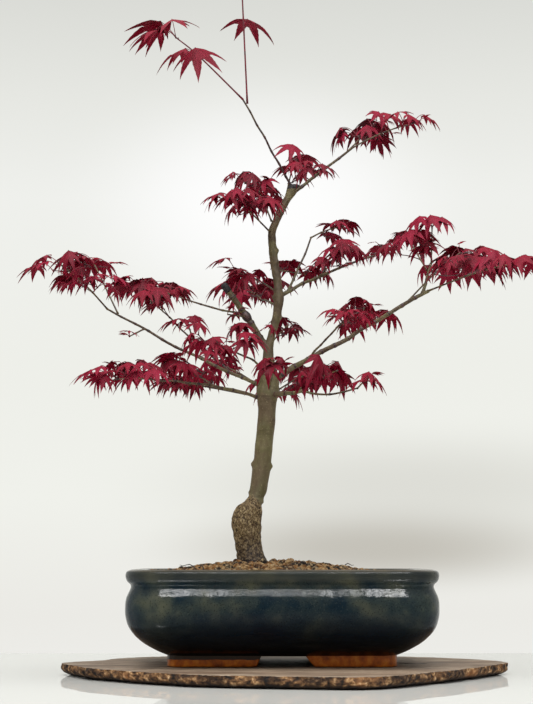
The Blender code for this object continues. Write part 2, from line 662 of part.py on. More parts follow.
def pot_ring(half_width, height, inset=0.0):
    """A level outline of the pot. Its corners tighten as it draws in."""
    corner = POT_WALL_CORNER - 0.6 * (POT_OUTSIDE[6][0] - half_width)
    half_width -= inset
    return rounded_rectangle(half_width, half_width - POT_HALF_DEPTH_CUT, corner - inset, height)


def foot_ring(x_side, y_side, slant, height):
    """Outline of one foot: an L that wraps the pot's corner, its two ends drawn in by slant."""
    across, deep = FOOT_OUTSIDE, FOOT_OUTSIDE - POT_HALF_DEPTH_CUT
    round_corner = 0.012
    outline = [(across - FOOT_LENGTH + slant, deep)]
    for turn in np.linspace(math.pi / 2, 0, 4):
        x = across - round_corner + round_corner * math.cos(turn)
        outline.append((x, deep - round_corner + round_corner * math.sin(turn)))
    outline.append((across, deep - FOOT_RETURN + slant))
    outline.append((across - FOOT_THICKNESS, deep - FOOT_RETURN + slant))
    outline.append((across - FOOT_THICKNESS, deep - FOOT_THICKNESS))
    outline.append((across - FOOT_LENGTH + slant, deep - FOOT_THICKNESS))
    return np.array([(x * x_side, y * y_side, height) for x, y in outline])


def make_pot():
    rings = [pot_ring(width, POT_BASE + height) for width, height in POT_OUTSIDE + POT_INSIDE]
    pot = mesh_object("pot", *lofted(rings))
    feet = bpy.data.collections.new("feet")
    bpy.context.scene.collection.children.link(feet)
    for x_side in (-1, 1):
        for y_side in (-1, 1):
            bottom = foot_ring(x_side, y_side, FOOT_SLANTS[x_side], POT_BASE)
            top = foot_ring(x_side, y_side, 0.0, POT_BASE + FOOT_HEIGHT + FOOT_SUNK)
            mesh_object("foot", *lofted([bottom, top]), feet)
    join_all(pot, feet)
    return pot


def evenly(outline, count):
    """Count points spaced evenly round a closed level outline."""
    loop = np.vstack((outline, outline[:1]))
    reached = np.concatenate(([0], np.cumsum(np.linalg.norm(np.diff(loop, axis=0), axis=1))))
    wanted = np.arange(count) / count * reached[-1]
    return np.stack([np.interp(wanted, reached, loop[:, k]) for k in range(3)], 1)


def make_soil():
    """The soil fills the pot up to its edge height and rises in a lumpy mound to the trunk's level seat."""
    gap = 1.4 * CLEARANCE
    rings = []
    for width, height in reversed(POT_INSIDE):
        if POT_BASE + height < SOIL_EDGE:
            rings.append(pot_ring(width, POT_BASE + height + gap, gap))
    wall = np.interp(SOIL_EDGE, *zip(*((POT_BASE + h, w) for w, h in reversed(POT_INSIDE))))
    rings.append(pot_ring(wall, SOIL_EDGE, gap))
    rings = [evenly(ring, SOIL_POINTS) for ring in rings]
    rng = random.Random(SOIL_SEED)
    for k, (share, height) in enumerate(SOIL_MOUND):
        half_width, half_depth = share * wall, share * (wall - POT_HALF_DEPTH_CUT)
        centre = TRUNK_BENDS[0][1] * (1 - share)
        outline = rounded_rectangle(half_width, half_depth, 0.028 * share + 0.004, height, centre)
        ring = evenly(outline, SOIL_POINTS)
        if k < len(SOIL_MOUND) - 1:
            ring[:, 2] += [SOIL_LUMP * (-1) ** (i + k) * rng.uniform(0.5, 1.0) for i in range(SOIL_POINTS)]
        rings.append(ring)
    return mesh_object("soil", *lofted(rings))


def slab_outline(count):
    """The slab's level outline, its bark bulging in and out."""
    outline = through([(x, y, 0.0) for x, y in SLAB_EDGE + SLAB_EDGE[:1]], 8 * len(SLAB_EDGE))[:-1]
    outline = evenly(outline, count)
    turns = 2 * math.pi * np.arange(count) / count
    return outline * (1 + sum(size * np.sin(waves * turns + shift) for waves, size, shift in SLAB_WAVES))[:, None]


def make_slab():
    outline = slab_outline(SLAB_POINTS)
    levels = ((0.0, SLAB_UNDERCUT), (0.35 * SLAB_THICKNESS, 1.0), (SLAB_THICKNESS, 0.992))
    return mesh_object("slab", *lofted([outline * share + UP * height for height, share in levels]))


# ---------------------------------------------------------------- looks and assembly
def material(name, colour, roughness, metallic=0.0):
    made = bpy.data.materials.new(name)
    made.use_nodes = True
    shader = made.node_tree.nodes["Principled BSDF"]
    shader.inputs["Base Color"].default_value = (*colour, 1.0)
    shader.inputs["Roughness"].default_value = roughness
    shader.inputs["Metallic"].default_value = metallic
    return made


def finish(obj, look, smooth_angle=None):
    obj.data.materials.clear()
    obj.data.materials.append(look)
    if smooth_angle:
        obj.data.shade_smooth()
        obj.data.set_sharp_from_angle(angle=math.radians(smooth_angle))


def main():
    for obj in list(bpy.data.objects):
        bpy.data.objects.remove(obj)
    bark = material("bark", (0.19, 0.15, 0.08), 0.8)
    shoot_bark = material("shoot_bark", (0.09, 0.05, 0.04), 0.6)
    foliage = material("foliage", (0.30, 0.012, 0.045), 0.5)
    glaze = material("glaze", (0.02, 0.04, 0.06), 0.2)
    granules = material("granules", (0.28, 0.16, 0.07), 0.95)
    old_wood = material("old_wood", (0.20, 0.14, 0.10), 0.7)

    finish(make_slab(), old_wood, 50)
    finish(make_pot(), glaze, 40)
    finish(make_soil(), granules, 40)

    axes = limb_axes(LIMBS)
    finish(tube("trunk", axes["trunk"], TRUNK_SIDES), bark, 50)
    for limb in LIMBS:
        obj = tube(limb.name, axes[limb.name], LIMB_SIDES)
        cut_from(obj, limb.parent, axes)
        finish(obj, shoot_bark if limb.name == "whip_shoot" else bark, 50)

    stems = {mass.name: stem_of(mass, axes) for mass in MASSES}
    spaces = {mass.name: Space(mass, stems[mass.name]) for mass in MASSES}
    for mass in MASSES:
        spray = grow(mass, stems[mass.name], spaces[mass.name], *neighbours_of(mass, axes, stems, spaces))
        finish(mass_object(mass, spray), foliage)


main()
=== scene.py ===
"""The looks of a red-leaved japanese maple grown as a bonsai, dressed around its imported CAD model.

Metres, +Z up, +X to the right, +Y to the back. Headings are degrees seen from above: 0 right,
90 back, 180 left, 270 front. The trunk, boughs and sprays grow by the rule and the rows of the
CAD source. The leaves, twigs, bark, soil, glaze and wood here are the same part's finer surface.
"""

import json
import math
import random
from collections import namedtuple

import bmesh
import bpy
import numpy as np
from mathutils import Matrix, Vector, noise

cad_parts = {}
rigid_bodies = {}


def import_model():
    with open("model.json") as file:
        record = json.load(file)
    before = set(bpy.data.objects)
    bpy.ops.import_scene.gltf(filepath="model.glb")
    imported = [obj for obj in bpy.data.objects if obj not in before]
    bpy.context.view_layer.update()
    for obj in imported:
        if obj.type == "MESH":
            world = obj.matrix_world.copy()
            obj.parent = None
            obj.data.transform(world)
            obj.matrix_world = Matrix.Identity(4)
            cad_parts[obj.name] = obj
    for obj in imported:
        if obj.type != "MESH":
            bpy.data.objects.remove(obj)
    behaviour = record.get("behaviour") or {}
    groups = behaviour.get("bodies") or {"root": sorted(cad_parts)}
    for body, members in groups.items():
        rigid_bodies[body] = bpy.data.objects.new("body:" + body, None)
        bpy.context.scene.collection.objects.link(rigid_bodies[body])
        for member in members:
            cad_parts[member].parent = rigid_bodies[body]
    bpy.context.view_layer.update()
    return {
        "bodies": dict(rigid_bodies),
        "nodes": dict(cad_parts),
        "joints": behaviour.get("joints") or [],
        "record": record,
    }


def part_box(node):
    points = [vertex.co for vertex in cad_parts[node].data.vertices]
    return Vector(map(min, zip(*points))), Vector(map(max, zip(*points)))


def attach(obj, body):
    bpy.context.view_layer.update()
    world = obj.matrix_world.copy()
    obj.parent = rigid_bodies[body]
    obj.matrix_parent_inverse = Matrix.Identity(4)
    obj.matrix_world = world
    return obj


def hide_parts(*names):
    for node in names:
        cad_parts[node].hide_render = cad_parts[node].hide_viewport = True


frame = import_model()

MM = 0.001
CLEARANCE = 0.0003  # gap between neighbouring solids of the CAD model
UP = np.array((0.0, 0.0, 1.0))


def table(width, *millimetres):
    """Rows of this many lengths."""
    return np.reshape(millimetres, (-1, width)) / 1000


def rows(kind, text):
    """One of kind for each line: two names, then numbers."""
    made = []
    for words in map(str.split, text.strip().splitlines()):
        numbers = [int(word) if word.isdigit() else float(word) for word in words[2:]]
        made.append(kind(*words[:2], *numbers))
    return made


# ---------------------------------------------------------------- driving sizes: slab, pot and soil
SLAB_THICKNESS = 0.0095
# Outline of the slab's top, counter-clockwise from its right tip.
SLAB_EDGE = table(
    2,
    181, 6, 173, 42, 137, 80, 96, 103, 35, 122, -35, 122, -98, 103, -137, 72, -148, 40, -170, 18,
    -174.5, -4, -154, -52, -129, -86, -100, -118, -55, -150, 4, -166, 52, -173, 78, -160,
    104, -126, 132, -84, 158, -42,
)
SLAB_WAVES = ((9, 0.004, 1.7), (17, 0.003, 0.9))  # how often, how far and where the bark bulges out

POT_BASE = SLAB_THICKNESS + CLEARANCE  # underside of the feet
POT_HALF_DEPTH_CUT = 0.026  # the pot is this much shallower than wide, on each side
POT_WALL_CORNER = 0.033
POT_WIDEST = 0.1196
# Side of the pot from its feet up to the rim: half width, height over the base.
POT_SIDE = table(
    2,
    86.8, 8, 95.5, 11.8, 104.4, 16.9, 110.2, 21.5, 114.5, 26.2, 117.2, 30.8, 118.7, 35.4,
    119.5, 40, 119.6, 44.6, 119.4, 49.2, 118.5, 53.1, 116.8, 57, 115.6, 60, 116, 62.2, 118.2, 64.4,
    119.4, 67.2, 119.5, 70, 118.4, 72.2, 115, 73.5,
)
# Inside of the pot from the rim down to the floor.
POT_INSIDE = table(
    2,
    110, 72.8, 107.3, 70, 106.9, 62, 110.9, 52, 111.7, 42, 106.1, 27, 94.5, 18, 84.9, 16,
)
FOOT_HEIGHT = 0.0085
FOOT_OUTSIDE = 0.0878  # half width over the feet
FOOT_LENGTH, FOOT_RETURN = 0.0737, 0.046  # along the front and along the side
FOOT_THICKNESS = 0.016
FOOT_CORNER, FOOT_SOFTENING = 0.012, 0.0011
FOOT_SLANTS = {-1: 0.0055, 1: 0.0105}  # how far a left and a right foot's ends lean back at the bottom
FOOT_SUNK = 0.004  # how far a foot reaches up into the pot's floor

SOIL_CROWN = 0.0885  # height of the soil where the trunk stands
SOIL_EDGE = 0.0785  # and at the pot's wall
SOIL_MOUND = ((0.95, 0.0790), (0.79, 0.0804), (0.61, 0.0828), (0.42, 0.0856), (0.22, 0.0885))

# ---------------------------------------------------------------- driving sizes: trunk
TRUNK_FOOT = SOIL_CROWN + CLEARANCE
# Bends of the trunk's axis: height over the foot, offset to the right, offset to the back.
TRUNK_BENDS = table(
    3,
    0, -23, 0, 14, -26.2, 0, 32, -28, -1, 44, -25, -1, 54, -19, 0, 105, -12.8, 1, 140, -10.6, 2,
    172, -9.8, 1, 210, -2.2, -2, 258, -7.7, 1, 278, -3, 3, 305, 11.2, 5,
)
BOLE_RADIUS = 0.0071
LEADER_RADIUS = 0.0033
FORK_HEIGHTS = (0.146, 0.172)  # the bole thins to the leader between these
GRAFT_RADIUS = 0.0106
GRAFT_HEIGHTS = (0.043, 0.052)  # the swollen graft ends between these
WHORL = 0.136  # height of the first whorl of boughs
# Swellings: height, extra radius, half length. The graft, the whorl, the top's callus and the foot.
SWELLINGS = ((0.033, 0.0014, 0.010), (WHORL, 0.0011, 0.006), (0.303, 0.0010, 0.004), (0.0, 0.0012, 0.005))
TRUNK_RINGS = 38


def smoothstep(value, low, high):
    share = min(1.0, max(0.0, (value - low) / (high - low)))
    return share * share * (3 - 2 * share)


def bump(value, centre, size, half_length):
    return size * math.exp(-(((value - centre) / half_length) ** 2))


def trunk_radius(height):
    radius = LEADER_RADIUS + (BOLE_RADIUS - LEADER_RADIUS) * (1 - smoothstep(height, *FORK_HEIGHTS))
    radius += (GRAFT_RADIUS - BOLE_RADIUS) * (1 - smoothstep(height, *GRAFT_HEIGHTS))
    for swelling in SWELLINGS:
        radius += bump(height, *swelling)
    return radius


def through(points, count):
    """A smooth path of count points that passes through the given ones (Catmull-Rom)."""
    points = np.asarray(points, float)
    ends = np.vstack((2 * points[0] - points[1], points, 2 * points[-1] - points[-2]))
    path = []
    for position in np.linspace(0, len(points) - 1, count):
        k = min(int(position), len(points) - 2)
        t = position - k
        a, b, c, d = ends[k : k + 4]
        curve = 2 * a - 5 * b + 4 * c - d
        twist = 3 * b - a - 3 * c + d
        path.append(0.5 * (2 * b + (c - a) * t + curve * t**2 + twist * t**3))
    return np.array(path)


def lengths_along(points):
    """Length of the path up to each of its points."""
    return np.concatenate(([0], np.cumsum(np.linalg.norm(np.diff(points, axis=0), axis=1))))


def trunk_axis(rings=TRUNK_RINGS):
    dense = through([(x, y, TRUNK_FOOT + h) for h, x, y in TRUNK_BENDS], 400)
    heights = np.linspace(dense[0, 2], dense[-1, 2], rings)
    points = np.stack([np.interp(heights, dense[:, 2], dense[:, k]) for k in range(3)], 1)
    return points, np.array([trunk_radius(z - TRUNK_FOOT) for z in heights])


# ---------------------------------------------------------------- limbs
Limb = namedtuple("Limb", "name parent along heading reach rise bow base tip")
LIMB_STEP = 0.012  # length of one straight piece of a limb
KINK = 0.0009  # how far each node stands off the limb's line
KINK_FULL = 0.0015  # a limb with a thinner foot bends less


def polar(heading, pitch=0.0):
    a, e = math.radians(heading), math.radians(pitch)
    return np.array((math.cos(a) * math.cos(e), math.sin(a) * math.cos(e), math.sin(e)))


def unit(vector):
    return vector / max(np.linalg.norm(vector), 1e-12)


def span_of(row):
    """From the start to the end of a limb or a stem."""
    return polar(row.heading) * row.reach + UP * row.rise


def along_axis(axis, share):
    """Point, direction and radius at a share of an axis's length."""
    points, radii = axis
    reached = lengths_along(points)
    at = share * reached[-1]
    k = min(int(np.searchsorted(reached, at, "right")) - 1, len(points) - 2)
    step = points[k + 1] - points[k]
    t = (at - reached[k]) / np.linalg.norm(step)
    return points[k] + step * t, unit(step), radii[k] + (radii[k + 1] - radii[k]) * t


def bowed(start, end, bow, shares):
    """Points at shares of a line from start to end that rises bow above the straight one."""
    t = shares[:, None]
    return start + (end - start) * t + UP * bow * 4 * t * (1 - t)


def limb_axis(limb, parents):
    start = along_axis(parents[limb.parent], limb.along)[0]
    end = start + span_of(limb)
    count = max(4, round(math.dist(start, end) / LIMB_STEP) + 1)
    shares = np.linspace(0, 1, count)
    points = bowed(start, end, limb.bow, shares)
    side = unit(np.cross(UP, end - start))
    rng = random.Random(limb.name)
    for k in range(1, count - 1):
        size = KINK * (-1) ** k * min(1.0, limb.base / KINK_FULL)
        points[k] += side * size * rng.uniform(0.3, 1.0) + UP * size * rng.uniform(-1.0, 1.0)
    return points, limb.base + (limb.tip - limb.base) * shares**0.8


def limb_axes():
    axes = {"trunk": trunk_axis()}
    for limb in LIMBS:
        axes[limb.name] = limb_axis(limb, axes)
    return axes


# Name, parent, share of the parent's length it starts at, heading, horizontal reach, rise,
# height of its bow over the straight line, radius at its base, radius at its tip.
LIMBS = rows(
    Limb,
    """
    pruned_stub trunk 0.55 196 0.038 0.052 0.0 0.003 0.0022
    whip_shoot trunk 0.99 202 0.044 0.07 0.0 0.00095 0.0007
    left_long_bough trunk 0.45 199 0.133 0.059 -0.0024 0.0016 0.00075
    left_low_bough trunk 0.42 218 0.103 0.01 0.0032 0.0015 0.0007
    left_dark_bough left_long_bough 0.23 142 0.054 0.04 0.0 0.00095 0.0007
    left_high_bough pruned_stub 0.53 139 0.061 0.017 -0.0008 0.00085 0.0007
    left_front_bough trunk 0.49 241 0.052 0.012 0.0024 0.001 0.0007
    right_long_bough trunk 0.47 349 0.13 0.07 -0.0008 0.0022 0.0014
    right_fork_up right_long_bough 0.96 66 0.022 0.027 0.0 0.0013 0.0009
    right_thin_bough right_long_bough 0.26 293 0.051 0.019 0.0008 0.00085 0.0007
    right_mid_bough trunk 0.69 28 0.09 0.04 0.0024 0.0016 0.00075
    right_zigzag right_mid_bough 0.09 33 0.023 0.046 -0.0016 0.001 0.0007
    upper_right_bough trunk 0.97 351 0.051 0.037 0.0 0.0015 0.0009
    right_low_bough trunk 0.43 310 0.042 0.002 0.0 0.002 0.0013
    right_low_outer right_low_bough 1.0 331 0.048 0.0 -0.0032 0.00085 0.0007
    back_low_bough trunk 0.45 82 0.075 0.001 0.0032 0.0015 0.0008
    back_mid_bough trunk 0.66 102 0.063 0.015 0.0024 0.0011 0.00075
    """,
)


# ---------------------------------------------------------------- foliage
Mass = namedtuple(
    "Mass", "name limb along heading reach rise bow bare nodes spread leaf seed finer_seed tries"
)
Leaf = namedtuple("Leaf", "foot base frame size openness fold droop")
STEM_RADIUS = 0.0007
TWIG_RADIUS = 0.0005
STALK_RADIUS = 0.00035
LOBES = ((0, 1.0), (40, 0.94), (-40, 0.94), (80, 0.74), (-80, 0.74))  # angle, length in leaf sizes
LOBE_HALF_WIDTH = 0.12
SPACE_ALONG, SPACE_ACROSS, SPACE_UP = 1.6, 1.3, 1.5  # a mass's space over its twigs, in leaf sizes
SPACE_SQUEEZE = np.array((1.0, 1.0, 1.5))  # neighbours' spaces part sooner in height
SPACE_GAP = BLADE_GAP = LEAF_GAP = 0.0008  # between spaces, from blades to limbs, between blades
CROWDING = 0.36  # least distance between the middles of two blades, in leaf sizes
FINER_RADIUS = 0.0004
FINER_CROWDING = 0.24
RIB_SHARES = (0.2, 0.4, 0.6, 0.8, 1.0)
CHORD_SHARES = (0.35, 0.65)
RIB_SPOTS = [(length * share, angle) for angle, length in LOBES for share in RIB_SHARES]
BLADE_RODS = [(0, k) for k in range(5, 26, 5)]  # the base and each lobe's tip, in leaf_ribs


def stem_of(mass, axes):
    """Points of a mass's stem, from its limb's tip or side, clear of it. All but the first bear leaves."""
    point, direction, radius = along_axis(axes[mass.limb], mass.along)
    lean = unit(span_of(mass)) @ direction
    if mass.along >= 1:
        start = point + direction * (CLEARANCE + STEM_RADIUS * math.sqrt(max(0.0, 1 - lean * lean)))
    else:
        across = unit(unit(span_of(mass)) - direction * lean)
        start = point + across * (radius + CLEARANCE + STEM_RADIUS * abs(lean))
    shares = np.linspace(0, 1, mass.nodes + 1)
    if mass.bare:
        shares = np.concatenate(((0.0,), np.linspace(mass.bare, 1, mass.nodes)))
    return bowed(start, start + span_of(mass), mass.bow, shares)


class Space:
    """The room that a mass keeps to: an ellipsoid round its twigs, parted from others' by planes."""

    def __init__(self, mass, stem):
        root = stem[1] if mass.bare else stem[0]
        self.centre = (root + stem[-1]) / 2
        forward = polar(mass.heading)
        self.axes = np.stack((forward, np.cross(UP, forward), UP))
        along = math.dist(root, stem[-1]) / 2 + SPACE_ALONG * mass.leaf
        across = mass.spread + SPACE_ACROSS * mass.leaf
        self.half = np.array((along, across, abs(stem[-1][2] - root[2]) / 2 + SPACE_UP * mass.leaf))
        self.weight = ((along + across) / 2) ** 2

    def power(self, points):
        return (((points - self.centre) * SPACE_SQUEEZE) ** 2).sum(-1) - self.weight

    def holds(self, points, others):
        inside = ((((points - self.centre) @ self.axes.T) / self.half) ** 2).sum(-1) <= 1
        if not inside.all():
            return False
        own = self.power(points)
        for other in others:
            gap = 2 * np.linalg.norm((self.centre - other.centre) * SPACE_SQUEEZE) * SPACE_GAP
            if (other.power(points) - own < gap).any():
                return False
        return True


def clear_of(points, rods, margin):
    """Whether every point stays margin away from every rod (start, end, radius)."""
    starts, ends, radii = rods
    if not len(starts):
        return True
    line = ends - starts
    t = ((points[:, None] - starts) * line).sum(-1) / np.maximum((line**2).sum(-1), 1e-12)
    nearest = starts + line * np.clip(t, 0, 1)[..., None]
    return bool((np.linalg.norm(points[:, None] - nearest, axis=-1) > radii + margin).all())


def rods_of(axes):
    starts, ends, radii = [], [], []
    for points, thick in axes:
        starts.extend(points[:-1])
        ends.extend(points[1:])
        radii.extend(np.maximum(thick[:-1], thick[1:]))
    return np.array(starts), np.array(ends), np.array(radii)


def blade_points(leaf, distance, angle, lift=0.0):
    """Points of the blade: distance from its base in leaf sizes, degrees from the middle lobe, and lift."""
    curl = leaf.droop / leaf.size
    r = np.asarray(distance) * leaf.size
    out = (np.sin(leaf.fold + curl * r) - math.sin(leaf.fold)) / curl
    down = (math.cos(leaf.fold) - np.cos(leaf.fold + curl * r)) / curl
    a = np.radians(np.asarray(angle)) * leaf.openness
    local = np.stack((out * np.cos(a), out * np.sin(a), np.asarray(lift) * leaf.size - down), -1)
    return leaf.base + local @ leaf.frame.T


def leaf_frame(forward, roll):
    """Columns: along the middle lobe, to its left, and the blade's upper side."""
    level = unit(np.cross(UP, forward))
    upper = np.cross(forward, level)
    turn = math.radians(roll)
    left = level * math.cos(turn) + upper * math.sin(turn)
    return np.stack((forward, left, np.cross(forward, left)), 1)


def make_leaf(rng, node, heading, size, young=False):
    """One leaf on its stalk: the stalk leaves node along heading, and the blade hangs from its end."""
    size *= rng.uniform(0.8, 1.15) * (0.55 if young else 1.0)
    base = node + polar(heading, rng.uniform(10, 50)) * size * rng.uniform(0.35, 0.7)
    pitch = rng.uniform(20, 50) if young else rng.uniform(-35, 5)
    frame = leaf_frame(polar(heading + rng.uniform(-25, 25), pitch), rng.uniform(-20, 20))
    openness = rng.uniform(0.25, 0.5) if young else rng.uniform(0.8, 1.05)
    fold = math.radians(rng.uniform(10, 32))
    droop = math.radians(rng.uniform(12, 40))
    return Leaf(node, base, frame, size, openness, fold, droop)


def leaf_ribs(leaf):
    """The blade's base, points down the middle of each lobe, then points of straight lines to the tips."""
    curved = blade_points(leaf, *zip(*RIB_SPOTS))
    tips = curved[len(RIB_SHARES) - 1 :: len(RIB_SHARES)]
    straight = [leaf.base + (tip - leaf.base) * share for tip in tips for share in CHORD_SHARES]
    return np.array([leaf.base, *curved, *straight])


def rib_margins(size):
    """How far a rod must stay from each of leaf_ribs: a lobe is widest near the blade's base."""
    shares = RIB_SHARES * len(LOBES) + CHORD_SHARES * len(LOBES)
    return np.array([0.0] + [min(1.0, (1 - s) / 0.6) * LOBE_HALF_WIDTH * size for s in shares]) + BLADE_GAP


def grow(mass, stem, space, others, rods):
    """Twigs and leaves of one mass: a stem with opposite pairs, each pair turned against the last."""
    rng = random.Random(mass.seed)
    twigs, leaves = [(stem, np.linspace(STEM_RADIUS, TWIG_RADIUS, len(stem)))], []
    middles, blades, crowding = [], [], CROWDING

    def add_leaf(wanted, node, heading, young=False):
        leaf = make_leaf(rng, node, heading, mass.leaf, young)
        if not wanted:
            return
        ribs = leaf_ribs(leaf)
        middle = ribs.mean(0)
        if any(math.dist(middle, other) < crowding * leaf.size for other in middles):
            return
        if not space.holds(ribs, others) or not clear_of(ribs, rods, rib_margins(leaf.size)[:, None]):
            return
        if not clear_of((leaf.foot + leaf.base)[None] / 2, rods, BLADE_GAP):
            return
        own = rods_of([(blade[list(pair)], np.zeros(2)) for blade in blades for pair in BLADE_RODS])
        if blades and not clear_of(ribs[1:], own, LEAF_GAP):
            return
        leaves.append(leaf)
        middles.append(middle)
        blades.append(ribs)

    def has_room(node, end):
        reach = node + (end - node) * np.array(RIB_SHARES)[:, None]
        return space.holds(reach, others) and clear_of(reach, rods, BLADE_GAP)

    def add_side_twig(before, node, end, radius):
        if len(leaves) > before:
            twigs.append((np.array((node, end)), np.array((radius, STALK_RADIUS))))

    last = len(stem) - 1
    steep = abs(mass.rise) > 1.5 * mass.reach
    for k in range(1, last + 1):
        width = mass.spread * (1.0 - 0.5 * k / last) * (1.0 if k % 2 else 0.7)
        for side in (1, -1):
            spread = rng.uniform(40, 80)
            turn = mass.heading + (side * 90 + 90 * k if steep else side * spread)
            length = width * rng.uniform(0.7, 1.15)
            lift, share = rng.uniform(-5, 30), rng.uniform(0.45, 0.6)
            outs = [rng.uniform(15, 60) for _ in range(4)]
            if length < 0.45 * mass.leaf:
                add_leaf(True, stem[k], turn)
                continue
            end = stem[k] + polar(turn, lift) * length
            fits, before = has_room(stem[k], end), len(leaves)
            add_leaf(fits, end, turn + outs[0])
            add_leaf(fits, end, turn - outs[1])
            if length > 0.8 * mass.leaf:
                middle = stem[k] + (end - stem[k]) * share
                add_leaf(fits, middle, turn + 20 + outs[2])
                add_leaf(fits, middle, turn - 20 - outs[3])
            add_side_twig(before, stem[k], end, TWIG_RADIUS)
    for side in (1, -1):
        add_leaf(True, stem[-1], mass.heading + side * rng.uniform(10, 45))
    add_leaf(True, stem[-1], mass.heading + rng.uniform(-15, 15), young=rng.random() < 0.7)
    rng = random.Random(mass.finer_seed)
    crowding = FINER_CROWDING
    for _ in range(mass.tries):
        points = twigs[rng.randrange(len(twigs))][0]
        first = 2 if mass.bare and len(points) > 2 else 1
        k = rng.randrange(first, len(points))
        node = points[k - 1] + (points[k] - points[k - 1]) * rng.uniform(0.2, 1.0)
        turn = mass.heading + rng.uniform(-180, 180) * (1.0 if steep else 0.6)
        end = node + polar(turn, rng.uniform(-5, 35)) * mass.leaf * rng.uniform(0.2, 0.7)
        fits, before = has_room(node, end), len(leaves)
        upright = rng.random() < 0.2
        add_leaf(fits, end, turn + rng.uniform(15, 60), upright)
        add_leaf(fits, end, turn - rng.uniform(15, 60), upright)
        add_side_twig(before, node, end, FINER_RADIUS)
    return twigs, leaves


def neighbours_of(mass, axes, stems, spaces):
    """The spaces of all other masses, and every limb and foreign stem as rods."""
    others = [space for name, space in spaces.items() if name != mass.name]
    foreign = [(stem, np.full(len(stem), STEM_RADIUS)) for name, stem in stems.items() if name != mass.name]
    return others, rods_of(list(axes.values()) + foreign)


# Name, limb, share of the limb's length its stem starts at, the stem's heading, reach, rise and bow,
# bare share of the stem, pairs of leaves or twigs on it, reach of its side twigs, leaf size and seed,
# then the seed of the finer twigs that only the dressed model has, and how many of them are tried.
MASSES = rows(
    Mass,
    """
    left_tip left_long_bough 1.0 228 0.052 0.031 0.0024 0.3 4 0.022 0.022 116 5623 4
    left_tip_back left_long_bough 0.94 145 0.025 0.042 0.0 0.4 2 0.016 0.022 432 1511 9
    left_high left_high_bough 1.0 149 0.058 0.015 0.0024 0.0 4 0.022 0.02 997 9403 16
    left_node left_long_bough 0.78 244 0.022 -0.008 0.0 0.0 1 0.007 0.014 484 0 0
    left_dark left_dark_bough 1.0 200 0.026 0.022 0.0016 0.3 2 0.018 0.022 137 5205 12
    left_dark_side left_dark_bough 0.71 261 0.025 0.012 0.0008 0.0 1 0.014 0.02 907 5856 9
    left_inner left_front_bough 1.0 237 0.038 -0.006 0.0016 0.0 3 0.022 0.021 595 1209 16
    left_low_tip left_low_bough 1.0 202 0.046 -0.002 0.0024 0.0 4 0.026 0.02 287 6270 9
    left_low_back trunk 0.43 139 0.091 0.016 0.0016 0.6 3 0.012 0.019 918 4362 9
    left_low_mid left_low_bough 0.52 138 0.035 0.015 0.0016 0.4 2 0.022 0.02 58 8990 26
    left_low_inner trunk 0.46 152 0.042 0.021 0.0016 0.4 3 0.018 0.02 863 2581 9
    centre_left trunk 0.71 148 0.035 0.017 0.0016 0.3 3 0.018 0.02 370 9437 9
    stub_low pruned_stub 0.52 239 0.025 -0.001 0.0 0.2 2 0.012 0.018 802 7170 12
    stub_front pruned_stub 0.25 254 0.052 -0.008 0.0 0.2 2 0.016 0.019 314 838 6
    centre_right trunk 0.76 60 0.047 0.003 0.0008 0.2 2 0.016 0.02 347 1704 26
    centre_right_low trunk 0.57 61 0.027 0.017 0.0008 0.3 2 0.012 0.017 683 9687 6
    front_low trunk 0.45 277 0.044 0.013 0.0016 0.3 2 0.022 0.022 969 606 9
    right_low_mid right_low_bough 0.86 322 0.039 0.013 0.0016 0.0 2 0.022 0.021 478 2865 12
    right_low_back trunk 0.45 17 0.039 0.019 0.0016 0.4 2 0.02 0.021 693 3710 6
    right_low_tip right_low_outer 1.0 313 0.011 0.006 0.0008 0.0 2 0.014 0.022 325 0 0
    back_low back_low_bough 1.0 90 0.026 0.004 0.0016 0.0 3 0.026 0.022 134 1509 4
    back_mid back_mid_bough 1.0 105 0.038 0.012 0.0016 0.0 3 0.024 0.021 156 4374 9
    right_inner right_thin_bough 1.0 306 0.016 0.004 0.0008 0.0 2 0.012 0.017 150 4059 20
    right_mid_back right_long_bough 0.58 81 0.027 0.02 0.0016 0.2 3 0.02 0.02 982 9997 4
    right_up_left right_fork_up 0.82 115 0.034 0.033 0.0 0.3 3 0.02 0.023 676 2720 6
    right_up_top right_fork_up 1.0 267 0.027 0.025 0.0 0.3 2 0.02 0.023 524 2782 6
    right_out right_long_bough 1.0 324 0.081 0.015 0.0024 0.4 4 0.024 0.022 105 8759 6
    right_out_back right_long_bough 0.87 39 0.059 0.045 0.0024 0.5 3 0.022 0.022 740 6606 26
    right_mid_top right_zigzag 1.0 20 0.029 0.011 0.0016 0.3 3 0.016 0.018 279 654 4
    right_mid right_mid_bough 0.44 331 0.02 0.019 0.0 0.2 2 0.02 0.019 508 252 16
    right_mid_tip right_mid_bough 1.0 65 0.021 0.011 0.0 0.0 1 0.01 0.017 524 8608 9
    upper_left trunk 0.86 225 0.042 0.02 0.0024 0.5 3 0.016 0.02 408 9065 26
    upper_left_high trunk 0.89 135 0.022 0.039 0.0016 0.4 3 0.018 0.019 360 4756 16
    upper_centre trunk 0.97 64 0.015 0.032 0.0 0.3 3 0.018 0.02 517 6098 6
    upper_right upper_right_bough 0.95 51 0.033 0.026 0.0 0.0 2 0.018 0.021 674 2758 26
    upper_right_tip upper_right_bough 1.0 348 0.05 0.018 0.0024 0.2 4 0.016 0.02 790 7144 4
    upper_right_low upper_right_bough 0.51 263 0.035 -0.008 0.0 0.0 1 0.008 0.017 473 9071 4
    whip_left whip_shoot 1.0 203 0.058 0.045 0.0024 0.66 2 0.004 0.034 254 0 0
    whip_top whip_shoot 0.95 256 0.024 0.122 0.0 0.5 2 0.005 0.038 135 0 0
    """,
)


